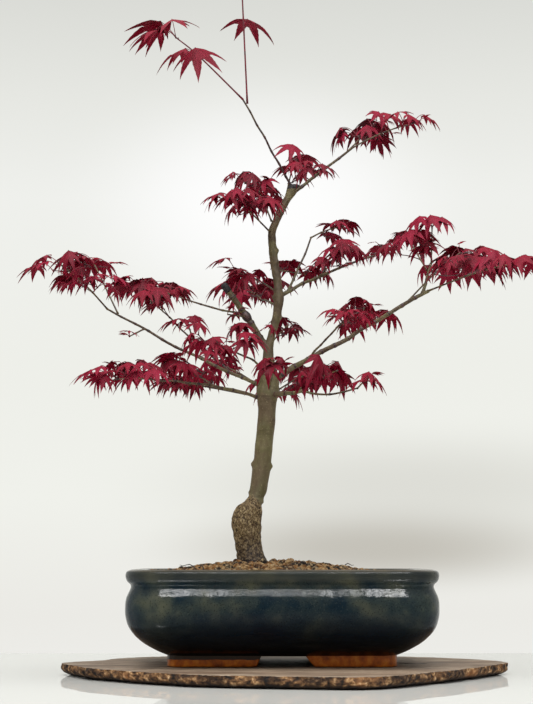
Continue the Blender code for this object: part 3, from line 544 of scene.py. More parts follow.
# ---------------------------------------------------------------- shading
def rgb(*display):
    """A linear colour from display values of 0 to 255."""
    shares = (value / 255 for value in display)
    return (*(s / 12.92 if s <= 0.04045 else ((s + 0.055) / 1.055) ** 2.4 for s in shares), 1.0)


class Nodes:
    """Short calls that add linked nodes to one tree. Colours are given as three display values."""

    def __init__(self, tree, coordinates):
        self.tree = tree
        self.place = self.node("TexCoord").outputs[coordinates]

    def feed(self, socket, value):
        if isinstance(value, bpy.types.NodeSocket):
            self.tree.links.new(value, socket)
        else:
            socket.default_value = rgb(*value) if socket.type == "RGBA" else value

    def node(self, kind, inputs=None, **settings):
        made = self.tree.nodes.new("ShaderNode" + kind)
        for name, value in settings.items():
            setattr(made, name, value)
        for socket, value in (inputs or {}).items():
            self.feed(made.inputs[socket], value)
        return made

    def axis(self, name):
        return self.node("SeparateXYZ", {0: self.place}).outputs[name]

    def noise(self, scale, detail=3.0, stretch=None, distortion=0.0):
        place = self.place
        if stretch:
            place = self.node("Mapping", {"Vector": place, "Scale": stretch}).outputs[0]
        inputs = {"Vector": place, "Scale": scale, "Detail": detail, "Distortion": distortion}
        return self.node("TexNoise", inputs).outputs[0]

    def span(self, value, low, high, start=0.0, end=1.0, **settings):
        """value carried from low..high to start..end, and held at both ends."""
        return self.node("MapRange", {0: value, 1: low, 2: high, 3: start, 4: end}, **settings).outputs[0]

    def add(self, first, second):
        return self.node("Math", {0: first, 1: second}, operation="ADD").outputs[0]

    def times(self, first, second):
        return self.node("Math", {0: first, 1: second}, operation="MULTIPLY").outputs[0]

    def mix(self, share, first, second, blend="MIX"):
        inputs = {0: share, 6: first, 7: second}
        return self.node("Mix", inputs, data_type="RGBA", blend_type=blend).outputs[2]

    def ramp(self, value, *stops):
        """A colour for each value: each stop is a position and a colour."""
        ramp = self.node("ValToRGB", {0: value})
        elements = ramp.color_ramp.elements
        for stop in stops[2:]:
            elements.new(stop[0])
        for element, (position, *colour) in zip(elements, stops):
            element.position = position
            element.color = rgb(*colour)
        return ramp.outputs[0]


class Shading(Nodes):
    """One material round a Principled shader."""

    def __init__(self, name, roughness, specular):
        self.material = bpy.data.materials.new(name)
        self.material.use_nodes = True
        super().__init__(self.material.node_tree, "Object")
        self.shader = self.tree.nodes["Principled BSDF"]
        self.shader.inputs["Roughness"].default_value = roughness
        self.shader.inputs["Specular IOR Level"].default_value = specular

    def finish(self, colour, *reliefs):
        """Sets the colour and lays bumps of height, distance and strength over one another."""
        self.feed(self.shader.inputs["Base Color"], colour)
        normal = self.shader.inputs["Normal"]
        for height, distance, strength in reliefs:
            inputs = {"Height": height, "Distance": distance, "Strength": strength}
            if normal.is_linked:
                inputs["Normal"] = normal.links[0].from_socket
            self.feed(normal, self.node("Bump", inputs).outputs[0])
        return self.material


def bark_material():
    """Smooth clouded skin, olive and brown, going over into pale fibrous cork at the graft."""
    look = Shading("bark", 0.7, 0.3)
    height = look.axis("Z")
    clouds = look.noise(46, 4, (1.0, 1.0, 0.7), 0.4)
    skin = look.ramp(
        clouds, (0.34, 96, 78, 58), (0.46, 118, 102, 74), (0.56, 112, 106, 68), (0.70, 140, 128, 92)
    )
    streaks = look.noise(420, 4, (1.0, 1.0, 0.35))
    skin = look.mix(look.span(streaks, 0.40, 0.62, 0.0, 0.40), skin, (84, 70, 48))
    rings = look.noise(330, 2, (0.2, 0.2, 1.0))
    skin = look.mix(look.span(rings, 0.60, 0.72, 0.0, 0.45), skin, (74, 60, 42))
    skin = look.mix(look.span(look.noise(800, 2), 0.62, 0.72, 0.0, 0.6), skin, (168, 152, 112))
    fibres = look.noise(620, 6, (1.0, 1.0, 0.8), 0.8)
    cork = look.ramp(
        fibres, (0.34, 44, 32, 20), (0.45, 100, 78, 48), (0.55, 150, 126, 84), (0.68, 206, 184, 138)
    )
    # The cork darkens towards the soil.
    low_darkening = look.span(look.add(height, look.times(clouds, 0.016)), 0.100, 0.122, 0.9, 0.0)
    cork = look.mix(low_darkening, cork, look.ramp(fibres, (0.46, 30, 20, 16), (0.70, 136, 112, 84)))
    lean = look.add(look.times(look.axis("X"), GRAFT_TILT), -GRAFT_TILT * TRUNK_BENDS[0][1])
    edge = look.add(look.add(height, look.times(look.noise(160, 3), 0.010)), lean)
    graft = look.span(edge, SHOULDER + 0.0035, SHOULDER + 0.0060)
    upper = look.span(height, WHORL_TOP, WHORL_TOP + 0.04, 0.0, 0.75)
    shaded = look.times(upper, look.span(look.noise(90, 4), 0.42, 0.60))
    skin = look.mix(shaded, skin, (74, 56, 40))
    fibrous = look.times(fibres, look.span(graft, 0.0, 1.0, 1.0, 0.12))
    reliefs = (clouds, 0.0006, 0.4), (fibrous, 0.0016, 0.9), (look.noise(1500, 3), 0.00015, 0.5)
    return look.finish(look.mix(graft, cork, skin), *reliefs)


def mottled(name, surface, spots, colours, pits, relief):
    """Two colours in soft spots (scale, detail, upper end), with fine pits of this relief."""
    look = Shading(name, *surface)
    share = look.span(look.noise(*spots[:2]), 0.40, spots[2])
    return look.finish(look.mix(share, *colours), (look.noise(*pits), *relief))


def twig_material(name, *colours):
    """Thin bark, finely ringed."""
    return mottled(name, (0.6, 0.4), (240, 3, 0.62), colours, (1500, 2, (1, 1, 0.4)), (0.00008, 0.5))


def leaf_material(name, *colours):
    """A thin crimson blade, faintly mottled, with a little sheen."""
    return mottled(name, (0.6, 0.14), (160, 3, 0.68), colours, (700, 2), (0.00010, 0.4))


def seal_material():
    """Black wound paste, wrinkled and dull."""
    colours = (24, 22, 24), (66, 60, 60)
    return mottled("wound_seal", (0.7, 0.3), (420, 4, 0.7), colours, (700, 4), (0.0008, 0.8))


def granule_material(name, pale, dark):
    """Fired clay: matt, pitted and dusty."""
    look = Shading(name, 0.92, 0.2)
    colour = look.ramp(look.noise(420, 5), (0.34, *dark), (0.50, *pale), (0.72, 196, 172, 130))
    return look.finish(colour, (look.noise(2200, 4), 0.0006, 0.9))


def glaze_material():
    """Deep blue-green glaze, mottled olive and grey, thin and brown where it breaks over the lip, with
    painted shade and painted reflection darkening its lower body.
    """
    look = Shading("glaze", 0.2, 0.13)
    height = look.axis("Z")
    flow = look.noise(16, 4, (1.0, 1.0, 1.5), 0.4)
    deep = look.ramp(flow, (0.34, 4, 10, 20), (0.48, 4, 24, 40), (0.60, 12, 30, 40), (0.74, 38, 46, 42))
    upper = look.span(look.add(height, look.times(flow, 0.03)), 0.052, 0.074)
    grey = look.ramp(look.noise(46, 5), (0.35, 24, 38, 46), (0.52, 48, 56, 54), (0.70, 78, 80, 66))
    # Painted shade and painted reflection: the lower body goes near black, for the shade under it and the
    # dark slab it mirrors.
    glaze = look.mix(look.span(height, 0.024, 0.052, 0.95, 0.0), look.mix(upper, deep, grey), (1, 3, 7))
    specks = look.node("TexVoronoi", {"Vector": look.place, "Scale": 700}).outputs[0]
    glaze = look.mix(look.span(specks, 0.14, 0.30, 0.85, 0.0), glaze, (8, 12, 15))
    # Pale specks over the upper glaze: partly dust, partly painted glints.
    dust_and_glints = look.times(look.span(look.noise(820, 3), 0.56, 0.72, 0, 0.22), upper)
    glaze = look.mix(dust_and_glints, glaze, (92, 98, 86))
    neck = look.span(look.add(height, look.times(flow, 0.004)), 0.0755, 0.0795)
    glaze = look.mix(neck, glaze, look.mix(0.6, grey, (54, 54, 48)))
    rim = look.span(look.add(height, look.times(look.noise(90, 3), 0.0016)), 0.0822, 0.0840)
    look.feed(look.shader.inputs["Roughness"], look.span(look.noise(60, 4), 0.35, 0.70, 0.09, 0.22))
    reliefs = (look.noise(42, 3), 0.0022, 0.55), (look.noise(900, 2), 0.00016, 0.6)
    return look.finish(look.mix(rim, glaze, (78, 68, 50)), *reliefs)


def clay_material():
    """Bare orange clay, with painted shade along its bottom edge and a band of brown glaze run over the top
    of the left foot.
    """
    look = Shading("clay", 0.4, 0.4)
    clay = look.ramp(look.noise(150, 5), (0.30, 118, 54, 4), (0.50, 180, 92, 12), (0.75, 214, 130, 46))
    height = look.add(look.axis("Z"), look.times(look.noise(120, 3), 0.0016))
    # Painted shade: the clay darkens towards the foot's bottom edge, where it stands on the slab.
    clay = look.mix(look.span(height, 0.0112, 0.0103, 0.0, 0.8), clay, (48, 22, 8))
    left = look.span(look.axis("X"), 0.0, 0.004, 1.0, 0.0)
    run = look.times(look.span(height, 0.0160, 0.0164), left)
    return look.finish(look.mix(run, clay, (50, 38, 26)), (look.noise(700, 4), 0.0004, 0.6))


def plank_material():
    """The slab's sawn face: brown-grey, finely streaked along its length, with saw marks."""
    look = Shading("sawn_face", 0.62, 0.3)
    grain = look.noise(95, 6, (0.10, 1.0, 1.0), 0.3)
    fine = look.noise(620, 4, (0.06, 1.0, 1.0))
    wood = look.ramp(
        grain, (0.30, 118, 94, 74), (0.46, 158, 134, 110), (0.58, 182, 160, 136), (0.75, 206, 188, 166)
    )
    wood = look.mix(look.span(fine, 0.42, 0.58, 0.0, 0.85), wood, (92, 74, 58))
    wood = look.mix(look.span(look.noise(14, 3), 0.52, 0.70, 0.0, 0.5), wood, (112, 94, 78))
    return look.finish(wood, (fine, 0.0004, 0.6), (grain, 0.0005, 0.4))


def slab_bark_material():
    """The live edge: chipped bark, tan on its ridges and nearly black in its cracks, with painted shadow
    darkening it towards the table.
    """
    look = Shading("live_edge", 0.85, 0.25)
    chips = look.noise(300, 7, (0.7, 0.7, 1.0), 0.3)
    darker = (0.34, 30, 21, 14), (0.45, 82, 56, 34), (0.54, 122, 88, 56)
    bark = look.ramp(chips, *darker, (0.62, 172, 134, 92), (0.74, 232, 204, 164))
    stains = look.noise(42, 4)
    bark = look.mix(look.span(stains, 0.52, 0.60, 0.0, 0.75), bark, (64, 48, 38), "MULTIPLY")
    bark = look.mix(look.span(stains, 0.44, 0.36, 0.0, 0.45), bark, (158, 104, 60))
    # Painted shadow: the bark goes nearly black towards its foot, where it curls under off the table.
    bark = look.mix(look.span(look.axis("Z"), 0.0046, 0.0020, 0.0, 0.92), bark, (16, 11, 8))
    return look.finish(bark, (chips, 0.0018, 0.9), (look.noise(900, 4), 0.0005, 0.8))


# ---------------------------------------------------------------- meshes
def new_object(name, points, faces, materials):
    mesh = bpy.data.meshes.new(name)
    mesh.from_pydata(points, [], faces)
    for material in materials:
        mesh.materials.append(material)
    obj = bpy.data.objects.new(name, mesh)
    bpy.context.scene.collection.objects.link(obj)
    return obj


class Skin:
    """Points and faces gathered for one piece."""

    def __init__(self):
        self.points, self.faces, self.looks = [], [], []
        self.count = 0

    def add(self, points, faces, look=0):
        points = np.asarray(points, float)
        self.points.append(points)
        self.faces.extend([tuple(i + self.count for i in face) for face in faces])
        self.looks.extend([look] * len(faces))
        self.count += len(points)

    def piece(self, name, materials, slot, replaces=(), sharp=None):
        obj = new_object(name, np.concatenate(self.points).tolist(), self.faces, materials)
        obj.data.polygons.foreach_set("material_index", self.looks)
        obj.data.shade_smooth()
        if sharp:
            obj.data.set_sharp_from_angle(angle=math.radians(sharp))
        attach(obj, "root")
        if replaces:
            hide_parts(*replaces)


def strips(rings, count, closed=True):
    """Faces between rings of count points each."""
    faces = []
    for low in range(0, (rings - 1) * count, count):
        for i in range(count if closed else count - 1):
            j = (i + 1) % count
            faces.append((low + i, low + j, low + count + j, low + count + i))
    return faces


def ring_face(count, ring):
    return tuple(range(ring * count, (ring + 1) * count))


def capped(count, rings):
    """Faces of a closed tube of rings, its ends n-gons."""
    return strips(rings, count) + [ring_face(count, 0)[::-1], ring_face(count, rings - 1)]


def tube_points(points, radii, sides, level=False, relief=None):
    """Rings round a path, without twist. relief(point, ring) moves each point outwards."""
    tangents = np.gradient(points, axis=0)
    across = np.array((1.0, 0.0, 0.0)) if level else np.cross(tangents[0], (0.3, 0.2, 0.93))
    turns = 2 * math.pi * np.arange(sides)[:, None] / sides
    rings = []
    for k, (point, tangent, radius) in enumerate(zip(points, tangents, radii)):
        tangent = UP if level else unit(tangent)
        across = unit(across - tangent * (across @ tangent))
        outward = np.cos(turns) * across + np.sin(turns) * np.cross(tangent, across)
        ring = point + radius * outward
        if relief:
            ring = ring + outward * np.array([relief(p, k) for p in ring])[:, None]
        rings.append(ring)
    return np.concatenate(rings)


def add_tube(skin, points, radii, sides, look=0, relief=None):
    skin.add(tube_points(points, radii, sides, relief=relief), capped(sides, len(points)), look)


def wave(point, scale, seed=0.0):
    """Smooth noise of about -1 to 1."""
    return noise.noise(Vector(point * scale + seed))


def rough(point, scale, octaves, seed=0.0):
    """Ragged noise of about -1 to 1."""
    return noise.fractal(Vector(point * scale + seed), 0.9, 2.1, octaves)


def ragged(point, depth, scale, octaves, seed=0.0):
    """A layer of ragged relief this deep."""
    return depth * rough(point, scale, octaves, seed)


def crack(point, scale):
    """0 in a crack, 1 well inside a plate of bark."""
    near = noise.voronoi(Vector(point * scale))[0]
    return min(1.0, (near[1] - near[0]) * 3)


# ---------------------------------------------------------------- trunk and boughs
TRUNK_SIDES, TRUNK_FINE_RINGS = 84, 360
LIMB_SIDES = 14
LIMB_FINE_STEP = 0.0010
OUTER_TIP, OUTER_SHARE = 0.0008, 0.5  # a bough that ends thinner than this is brown over its outer share
SHOULDER = SOIL_CROWN + GRAFT_HEIGHTS[1]  # top of the swollen graft
GRAFT_TILT = 0.8  # the graft's shoulder falls by this slope to the right
WHORL_TOP = TRUNK_FOOT + WHORL + 0.010
SEAL_HEIGHT = 0.0035  # paste over the trunk's cut top
SEAL_DOME = ((0.82, 0.0005), (0.5, 0.0008), (0.15, 0.00075))  # share of the top's radius, rise
FOOT_DEPTH = 0.002  # the foot stands this far down among the granules
# Layers of ragged relief: depth, scale, octaves.
CORK_LUMPS, CORK_FIBRES = (0.0008, 80, 2), (0.0004, 420, 3)
SKIN_GRAIN, LEADER_LUMPS = (0.00008, 700, 2), (0.0005, 130, 3, 4.0)
KNOT_LUMPS, KNOT_GRAIN = (0.0008, 170, 3), (0.0004, 600, 2)
CORK_CRACKS = 0.0004
SKIN_WAVES = 0.00035
LIP, LIP_LENGTH = 0.0007, 0.0022  # ridge of cork round the graft's shoulder
NOTCH, NOTCH_LENGTH = 0.0022, 0.0045  # hollow over the shoulder's right
LIMB_WAVES, LIMB_GRAIN = 0.10, 0.07  # relief of the boughs, in radii
COLLAR, COLLAR_REACH = 0.0014, 0.0045  # swelling of the trunk round the foot of each bough
SCAR, SCAR_REACH = 0.0019, 0.0020  # and of its old buds
# Height over the foot and heading.
BUD_SCARS = (
    (0.078, 188), (0.076, 352), (0.108, 250), (0.155, 160), (0.196, 20), (0.212, 170), (0.241, 300),
    (0.251, 8),
)


def swellings_of(axes):
    """Swellings where boughs leave the trunk and where buds were: point on its skin, size and reach."""
    found = []
    for limb in LIMBS:
        if limb.parent == "trunk":
            point, _, radius = along_axis(axes["trunk"], limb.along)
            size = COLLAR * min(1.0, limb.base / 0.002)
            found.append((point + polar(limb.heading) * radius, size, COLLAR_REACH))
    heights, *offsets = TRUNK_BENDS.T
    for height, heading in BUD_SCARS:
        centre = np.array([*(np.interp(height, heights, offset) for offset in offsets), TRUNK_FOOT + height])
        found.append((centre + polar(heading) * trunk_radius(height), SCAR, SCAR_REACH))
    return found


def make_trunk(axes, bark, seal):
    points, radii = trunk_axis(TRUNK_FINE_RINGS)
    points[0, 2] -= FOOT_DEPTH
    swellings = swellings_of(axes)
    low, high = GRAFT_HEIGHTS

    def relief(point, ring):
        tilt = GRAFT_TILT * (point[0] - points[ring, 0])
        height = point[2] - TRUNK_FOOT + tilt
        wandering = height + 0.003 * wave(point, 110, 3.0)
        cork = 1 - smoothstep(wandering, low + 0.004, high + 0.001)
        out = cork * (ragged(point, *CORK_LUMPS) + ragged(point * (1, 1, 0.6), *CORK_FIBRES))
        out += cork * CORK_CRACKS * (crack(point * (1, 1, 0.75), 210) - 0.6)
        lip = bump(wandering, high - 0.003, LIP, LIP_LENGTH)
        out += lip * (1 + rough(point, 300, 2)) * (1 if tilt < 0 else 0.3)
        out -= bump(height, high + 0.003, NOTCH, NOTCH_LENGTH) * smoothstep(tilt, 0.0, 0.005)
        out += (1 - cork) * (SKIN_WAVES * wave(point, 90) + ragged(point * (1, 1, 0.3), *SKIN_GRAIN))
        out += smoothstep(height, WHORL, WHORL + 0.03) * ragged(point, *LEADER_LUMPS)
        knots = bump(height, WHORL + 0.002, 1.0, 0.007)
        out += knots * (ragged(point, *KNOT_LUMPS) + ragged(point, *KNOT_GRAIN))
        for spot, size, reach in swellings:
            away = np.linalg.norm((point - spot) * (1, 1, 0.8))
            if away < 3 * COLLAR_REACH:
                out += size * math.exp(-((away / reach) ** 2))
        return out

    rings = [tube_points(points, radii, TRUNK_SIDES, True, relief)]
    top = rings[0][-TRUNK_SIDES:]
    for share, rise in SEAL_DOME:
        ring = points[-1] + (top - points[-1]) * share
        rings.append(ring + UP * np.array([rise + 0.0003 * wave(p, 500) for p in ring])[:, None])
    count = TRUNK_FINE_RINGS + len(rings) - 1
    skin = Skin()
    skin.add(np.concatenate(rings), strips(count, TRUNK_SIDES) + [ring_face(TRUNK_SIDES, count - 1)], 1)
    bare = int(TRUNK_FINE_RINGS * (1 - SEAL_HEIGHT / (points[-1, 2] - points[0, 2]))) * TRUNK_SIDES
    skin.looks[:bare] = [0] * bare
    skin.piece("trunk_bark", [bark, seal], "bark", ["trunk"])


def fine_limb(limb, axes):
    """A limb's path and radii with its joints: a ring of bark at each, and a flared foot."""
    points, radii = axes[limb.name]
    length = lengths_along(points)[-1]
    count = max(12, round(length / LIMB_FINE_STEP))
    spots = np.linspace(0, len(points) - 1, count)
    fine = np.interp(spots, np.arange(len(points)), radii)
    for joint in range(1, len(points) - 1):
        away = np.abs(spots - joint) * length / (len(points) - 1)
        fine += 0.22 * fine * np.exp(-((away / 0.0011) ** 2))
    gone = np.linspace(0, length, count) - along_axis(axes[limb.parent], limb.along)[2]
    fine += 0.0007 * (limb.base / 0.0025) * np.exp(-np.maximum(gone, 0) / 0.0035)
    return through(points, count), fine


def make_limb(limb, axes, bark, dark, seal, brown):
    path, fine = fine_limb(limb, axes)
    seed = sum(map(ord, limb.name)) % 97

    def relief(point, ring):
        return fine[ring] * (LIMB_WAVES * wave(point, 300, seed) + ragged(point, LIMB_GRAIN, 1100, 2, seed))

    skin = Skin()
    add_tube(skin, path, fine, LIMB_SIDES, 0, relief)
    if limb.name == "pruned_stub":
        seal_stub(skin, path, fine)
    joints = len(axes[limb.name][0]) - 1
    for ring in range(len(path) - 1):
        spot = ring * joints / (len(path) - 1)
        outer = limb.tip < OUTER_TIP and spot > round(OUTER_SHARE * joints)
        ringed = abs(spot - round(spot)) * len(path) / joints < 0.7 and 0 < round(spot) < joints
        look = 1 if ringed else 3 if outer else 0
        skin.looks[ring * LIMB_SIDES : (ring + 1) * LIMB_SIDES] = [look] * LIMB_SIDES
    young = limb.name in ("whip_shoot", "left_dark_bough")
    slot = "shoot_bark" if limb.name == "whip_shoot" else "bark"
    skin.piece(limb.name + "_bark", [dark if young else bark, dark, seal, brown], slot, [limb.name])


def seal_stub(skin, path, fine):
    """The cut end of the pruned leader under its cap of paste, and the dark callus at its fork."""
    tip = unit(path[-1] - path[-2])
    cap = path[-1] + tip[None] * np.array((-0.0075, -0.0070, -0.0045, -0.0015, 0.0003, 0.0010))[:, None]
    add_tube(skin, cap, fine[-1] * np.array((0.9, 1.25, 1.34, 1.34, 1.1, 0.4)), 18, 2)
    middle = int(0.50 * len(path))
    callus = path[middle - 4 : middle + 5]
    swell = 1.06 + 0.42 * np.sin(np.linspace(0, math.pi, len(callus)))
    add_tube(skin, callus, fine[middle] * swell, 18, 1)


# ---------------------------------------------------------------- leaves and twigs
FINE_LOBES = ((-118, 0.42), (-80, 0.76), (-40, 0.94), (0, 1.0), (40, 0.94), (80, 0.76), (118, 0.42))
WEB_STEPS = (0.14, 0.27, 0.40)  # the lobes are joined up to the last of these, in leaf sizes
WEB_LIMIT = 0.62  # and never further than this share of the shorter lobe
LOBE_STEPS = 9
LOBE_WIDEST, LOBE_WIDTH = 0.48, 0.140  # share of the lobe's length, half width in leaf sizes
RIB_DEPTH = 0.012  # the blade is folded down along its ribs by this, in leaf sizes
RIB_HALF_WIDTH, RIB_LIFT = 0.011, 0.005  # in leaf sizes
TOOTH = 0.11  # depth of the saw teeth, in widths
LEAF_SHADES = (
    ("leaf_crimson", (138, 3, 38), (122, 2, 31)),
    ("leaf_deep", (126, 2, 34), (106, 1, 27)),
    ("leaf_rose", (144, 7, 46), (128, 4, 37)),
    ("leaf_wine", (112, 3, 30), (92, 1, 22)),
    ("leaf_young", (148, 6, 38), (118, 3, 26)),
)


def lobe_half_width(share, length):
    """Half width of a lobe at a share of its length: full at first, then drawn out to a long fine tip."""
    t = max(0.0, (share - LOBE_WIDEST) / (1 - LOBE_WIDEST))
    return LOBE_WIDTH * (0.5 + 0.5 * length) * (1 - t) ** 1.15 * (1 + 0.6 * t)


def web_share(length):
    """How much of WEB_STEPS a lobe of this length is webbed to."""
    return min(1.0, WEB_LIMIT * length / WEB_STEPS[-1])


class Blade:
    """Points of one leaf blade as distance, angle and lift, the faces between them, and its ribs."""

    def __init__(self):
        self.spots, self.faces = [(0.0, 0.0, 0.0)], []
        self.veins, self.vein_faces = [], []

    def add_rib(self, rib, tip):
        """The pale rib of one lobe: a thin strip that stands proud of the blade above and below."""
        line = [self.spots[i] for i in rib] + [self.spots[tip]]
        for side in (1, -1):
            first = len(self.veins)
            for k, (distance, angle, lift) in enumerate(line):
                half = RIB_HALF_WIDTH * (1 - 0.8 * k / len(line))
                turn = math.degrees(half / max(distance, 0.1))
                self.veins.append((distance, angle + turn, lift + side * RIB_LIFT))
                self.veins.append((distance, angle - turn, lift + side * RIB_LIFT))
            for k in range(first, first + 2 * len(line) - 2, 2):
                face = (k, k + 1, k + 3, k + 2)
                self.vein_faces.append(face if side < 0 else face[::-1])

    def spot(self, distance, angle, lift):
        self.spots.append((distance, angle, lift))
        return len(self.spots) - 1

    def add_lobe(self, left, right, middle, length, openness, pleat, sweep, hook):
        """One lobe between the webs on its left and right: a sunken rib and two toothed margins."""
        begin = web_share(length)
        rib = [self.spot(r * begin, middle, -RIB_DEPTH) for r in WEB_STEPS]
        left, right = list(left), list(right)
        first = WEB_STEPS[-1] * begin / length
        for step in range(1, LOBE_STEPS):
            share = first + (1 - first) * step / LOBE_STEPS
            r = share * length
            width = lobe_half_width(share, length) * (1 - TOOTH * (step % 2))
            half = math.degrees(width / r) / max(0.5, openness)
            turned = middle + sweep * (share - first) ** 2
            drop = hook * (share - first) ** 2 * length
            rib.append(self.spot(r, turned, -RIB_DEPTH - drop))
            left.append(self.spot(r, turned + half, pleat * width - drop))
            right.append(self.spot(r, turned - half, pleat * width - drop))
        bend = (1 - first) ** 2
        tip = self.spot(length, middle + sweep * bend, -RIB_DEPTH - hook * bend * length)
        self.faces += [(0, right[0], rib[0]), (0, rib[0], left[0])]
        for a in range(len(rib) - 1):
            self.faces.append((rib[a], right[a], right[a + 1], rib[a + 1]))
            self.faces.append((left[a], rib[a], rib[a + 1], left[a + 1]))
        self.faces += [(rib[-1], right[-1], tip), (left[-1], rib[-1], tip)]
        self.add_rib(rib, tip)


def add_blade(skin, veins, leaf, rng):
    """One leaf of seven toothed lobes, webbed round its base, each lobe folded up from its rib."""
    lengths = [length * rng.uniform(0.92, 1.05) for _, length in FINE_LOBES]
    angles = [angle + rng.uniform(-4, 4) for angle, _ in FINE_LOBES]
    pleat = rng.uniform(0.15, 0.45)
    margins = [angles[0] - 20] + [(a + b) / 2 for a, b in zip(angles, angles[1:])] + [angles[-1] + 20]
    blade = Blade()
    webs = []
    for k, margin in enumerate(margins):
        reach = web_share(min(lengths[max(0, k - 1)], lengths[min(k, len(lengths) - 1)]))
        webs.append([blade.spot(r * reach, margin, pleat * 0.12 * r) for r in WEB_STEPS])
    for k, (length, middle) in enumerate(zip(lengths, angles)):
        sweep, hook = rng.uniform(-14, 14), rng.uniform(0.0, 0.3)
        blade.add_lobe(webs[k + 1], webs[k], middle, length, leaf.openness, pleat, sweep, hook)
    skin.add(blade_points(leaf, *zip(*blade.spots)), blade.faces)
    veins.add(blade_points(leaf, *zip(*blade.veins)), blade.vein_faces)


def add_stalk(skin, leaf, rng):
    """The thin red stalk, arched from the twig up to the blade."""
    rise = math.dist(leaf.foot, leaf.base) * rng.uniform(0.05, 0.2)
    path = bowed(leaf.foot, leaf.base, rise, np.linspace(-0.04, 1.02, 7))
    add_tube(skin, path, STALK_RADIUS * np.array((1.7, 1.0, 0.85, 0.8, 0.8, 0.9, 1.2)), 5)


def add_bud(skin, point, direction, size):
    """A pointed bud in two scales."""
    path = point + unit(direction) * size * np.array((0.0, 0.2, 0.5, 0.8, 1.0))[:, None]
    add_tube(skin, path, size * np.array((0.12, 0.26, 0.24, 0.12, 0.02)), 6)


def add_twig(skin, buds, twig, rng, sides=8):
    """A smooth twig with a swollen joint wherever its path has a point, and a pair of buds there."""
    points, radii = twig
    if len(points) == 2:
        sag = UP * math.dist(*points) * rng.uniform(-0.06, 0.06)
        points = np.array((points[0], points.mean(0) + sag, points[1]))
        radii = np.interp((0, 0.5, 1), (0, 1), radii)
    count = 8 * (len(points) - 1) + 1
    path = through(points, count)
    spots = np.linspace(0, len(points) - 1, count)
    joints = np.abs(spots - np.round(spots))
    thick = np.interp(spots, np.arange(len(points)), radii) * (1 + 0.35 * np.exp(-((joints / 0.09) ** 2)))
    path[0] -= unit(path[1] - path[0]) * 2 * CLEARANCE
    add_tube(skin, path, thick, sides)
    for joint in range(1, len(points)):
        at = min(joint * 8, count - 2)
        along = unit(path[at + 1] - path[at])
        side = unit(np.cross(along, polar(rng.uniform(0, 360))))
        for out in (side, -side):
            if rng.random() < 0.6:
                add_bud(buds, path[at] + out * thick[at] * 0.6, out + 1.2 * along, rng.uniform(1.0, 1.9) * MM)


def make_foliage(axes):
    """Every spray of the rule, carried on to toothed leaves, arched stalks, joints and buds."""
    stems = {mass.name: stem_of(mass, axes) for mass in MASSES}
    spaces = {mass.name: Space(mass, stems[mass.name]) for mass in MASSES}
    leaves = [Skin() for _ in LEAF_SHADES]
    twigs, shoots, stalks, buds, veins = (Skin() for _ in range(5))
    for order, mass in enumerate(MASSES):
        rng = random.Random(mass.seed + 7)
        near = neighbours_of(mass, axes, stems, spaces)
        (stem, *side_twigs), own_leaves = grow(mass, stems[mass.name], spaces[mass.name], *near)
        whip = mass.name.startswith("whip")
        add_twig(stalks if whip else twigs, buds, stem, rng)
        for twig in side_twigs:
            add_twig(stalks if whip else shoots, buds, twig, rng, 6)
        shade = order % 4
        for k, leaf in enumerate(own_leaves):
            if k % 4 == 0:
                shade = rng.choice((0, 0, 0, 1, 1, 2, 3))
            young = leaf.openness < 0.6
            add_blade(leaves[4 if young else shade], veins, leaf, rng)
            add_stalk(stalks, leaf, rng)
    names = [mass.name for mass in MASSES]
    for shade, skin in zip(LEAF_SHADES, leaves):
        skin.piece(shade[0], [leaf_material(*shade)], "foliage", names)
    wine = twig_material("shoot_skin", (92, 36, 38), (52, 20, 26))
    twigs.piece("twigs", [twig_material("twig_bark", (108, 90, 56), (62, 40, 34))], "foliage")
    shoots.piece("shoots", [wine], "foliage")
    stalks.piece("leaf_stalks", [twig_material("stalk_skin", (138, 26, 46), (100, 14, 32))], "foliage")
    veins.piece("leaf_ribs", [leaf_material("leaf_rib", (164, 30, 62), (140, 14, 44))], "foliage")
    buds.piece("buds", [wine], "foliage")


# ---------------------------------------------------------------- soil
GRANULE_STEP = 0.0056
GRANULE_SIZES = (0.0018, 0.0037)  # radius
GRANULE_LOOKS = (  # name, colours, how common
    ("granules_tan", (156, 122, 78), (98, 72, 42), 4),
    ("granules_ochre", (136, 92, 44), (78, 50, 24), 4),
    ("granules_brown", (92, 60, 34), (46, 30, 18), 5),
    ("granules_dark", (50, 38, 28), (22, 16, 12), 5),
)
SOIL_CORNER = 0.012
BED_COLUMNS, BED_ROWS = 60, 44
BED_DEPTH = 0.0042  # below the mound's surface
TWIGLETS = ((-0.066, -0.05, 150, 0.016), (-0.060, -0.052, 118, 0.011), (0.05, 0.02, 40, 0.012))


def soil_height(x, y, half_width, half_depth):
    """Height of the soil's mound over a place in the pot."""
    share = max(abs(x) / half_width, abs(y) / half_depth)
    near = math.hypot((x - TRUNK_BENDS[0][1]) / half_width, y / half_depth)
    shares, heights = zip(*sorted(((0.0, SOIL_CROWN), *SOIL_MOUND, (1.0, SOIL_EDGE))))
    return float(np.interp(0.5 * share + 0.5 * min(near, 1.0), shares, heights))


def past_corner(place, half):
    """How far a place lies from the middle of the soil's rounded corner."""
    return np.hypot(*np.maximum(np.abs(place) - (np.array(half) - SOIL_CORNER), 0))


def ball():
    """Points and faces of a ball of radius 1."""
    shape = bmesh.new()
    bmesh.ops.create_icosphere(shape, subdivisions=2, radius=1.0)
    points = np.array([v.co for v in shape.verts])
    faces = [tuple(v.index for v in face.verts) for face in shape.faces]
    shape.free()
    return points, faces


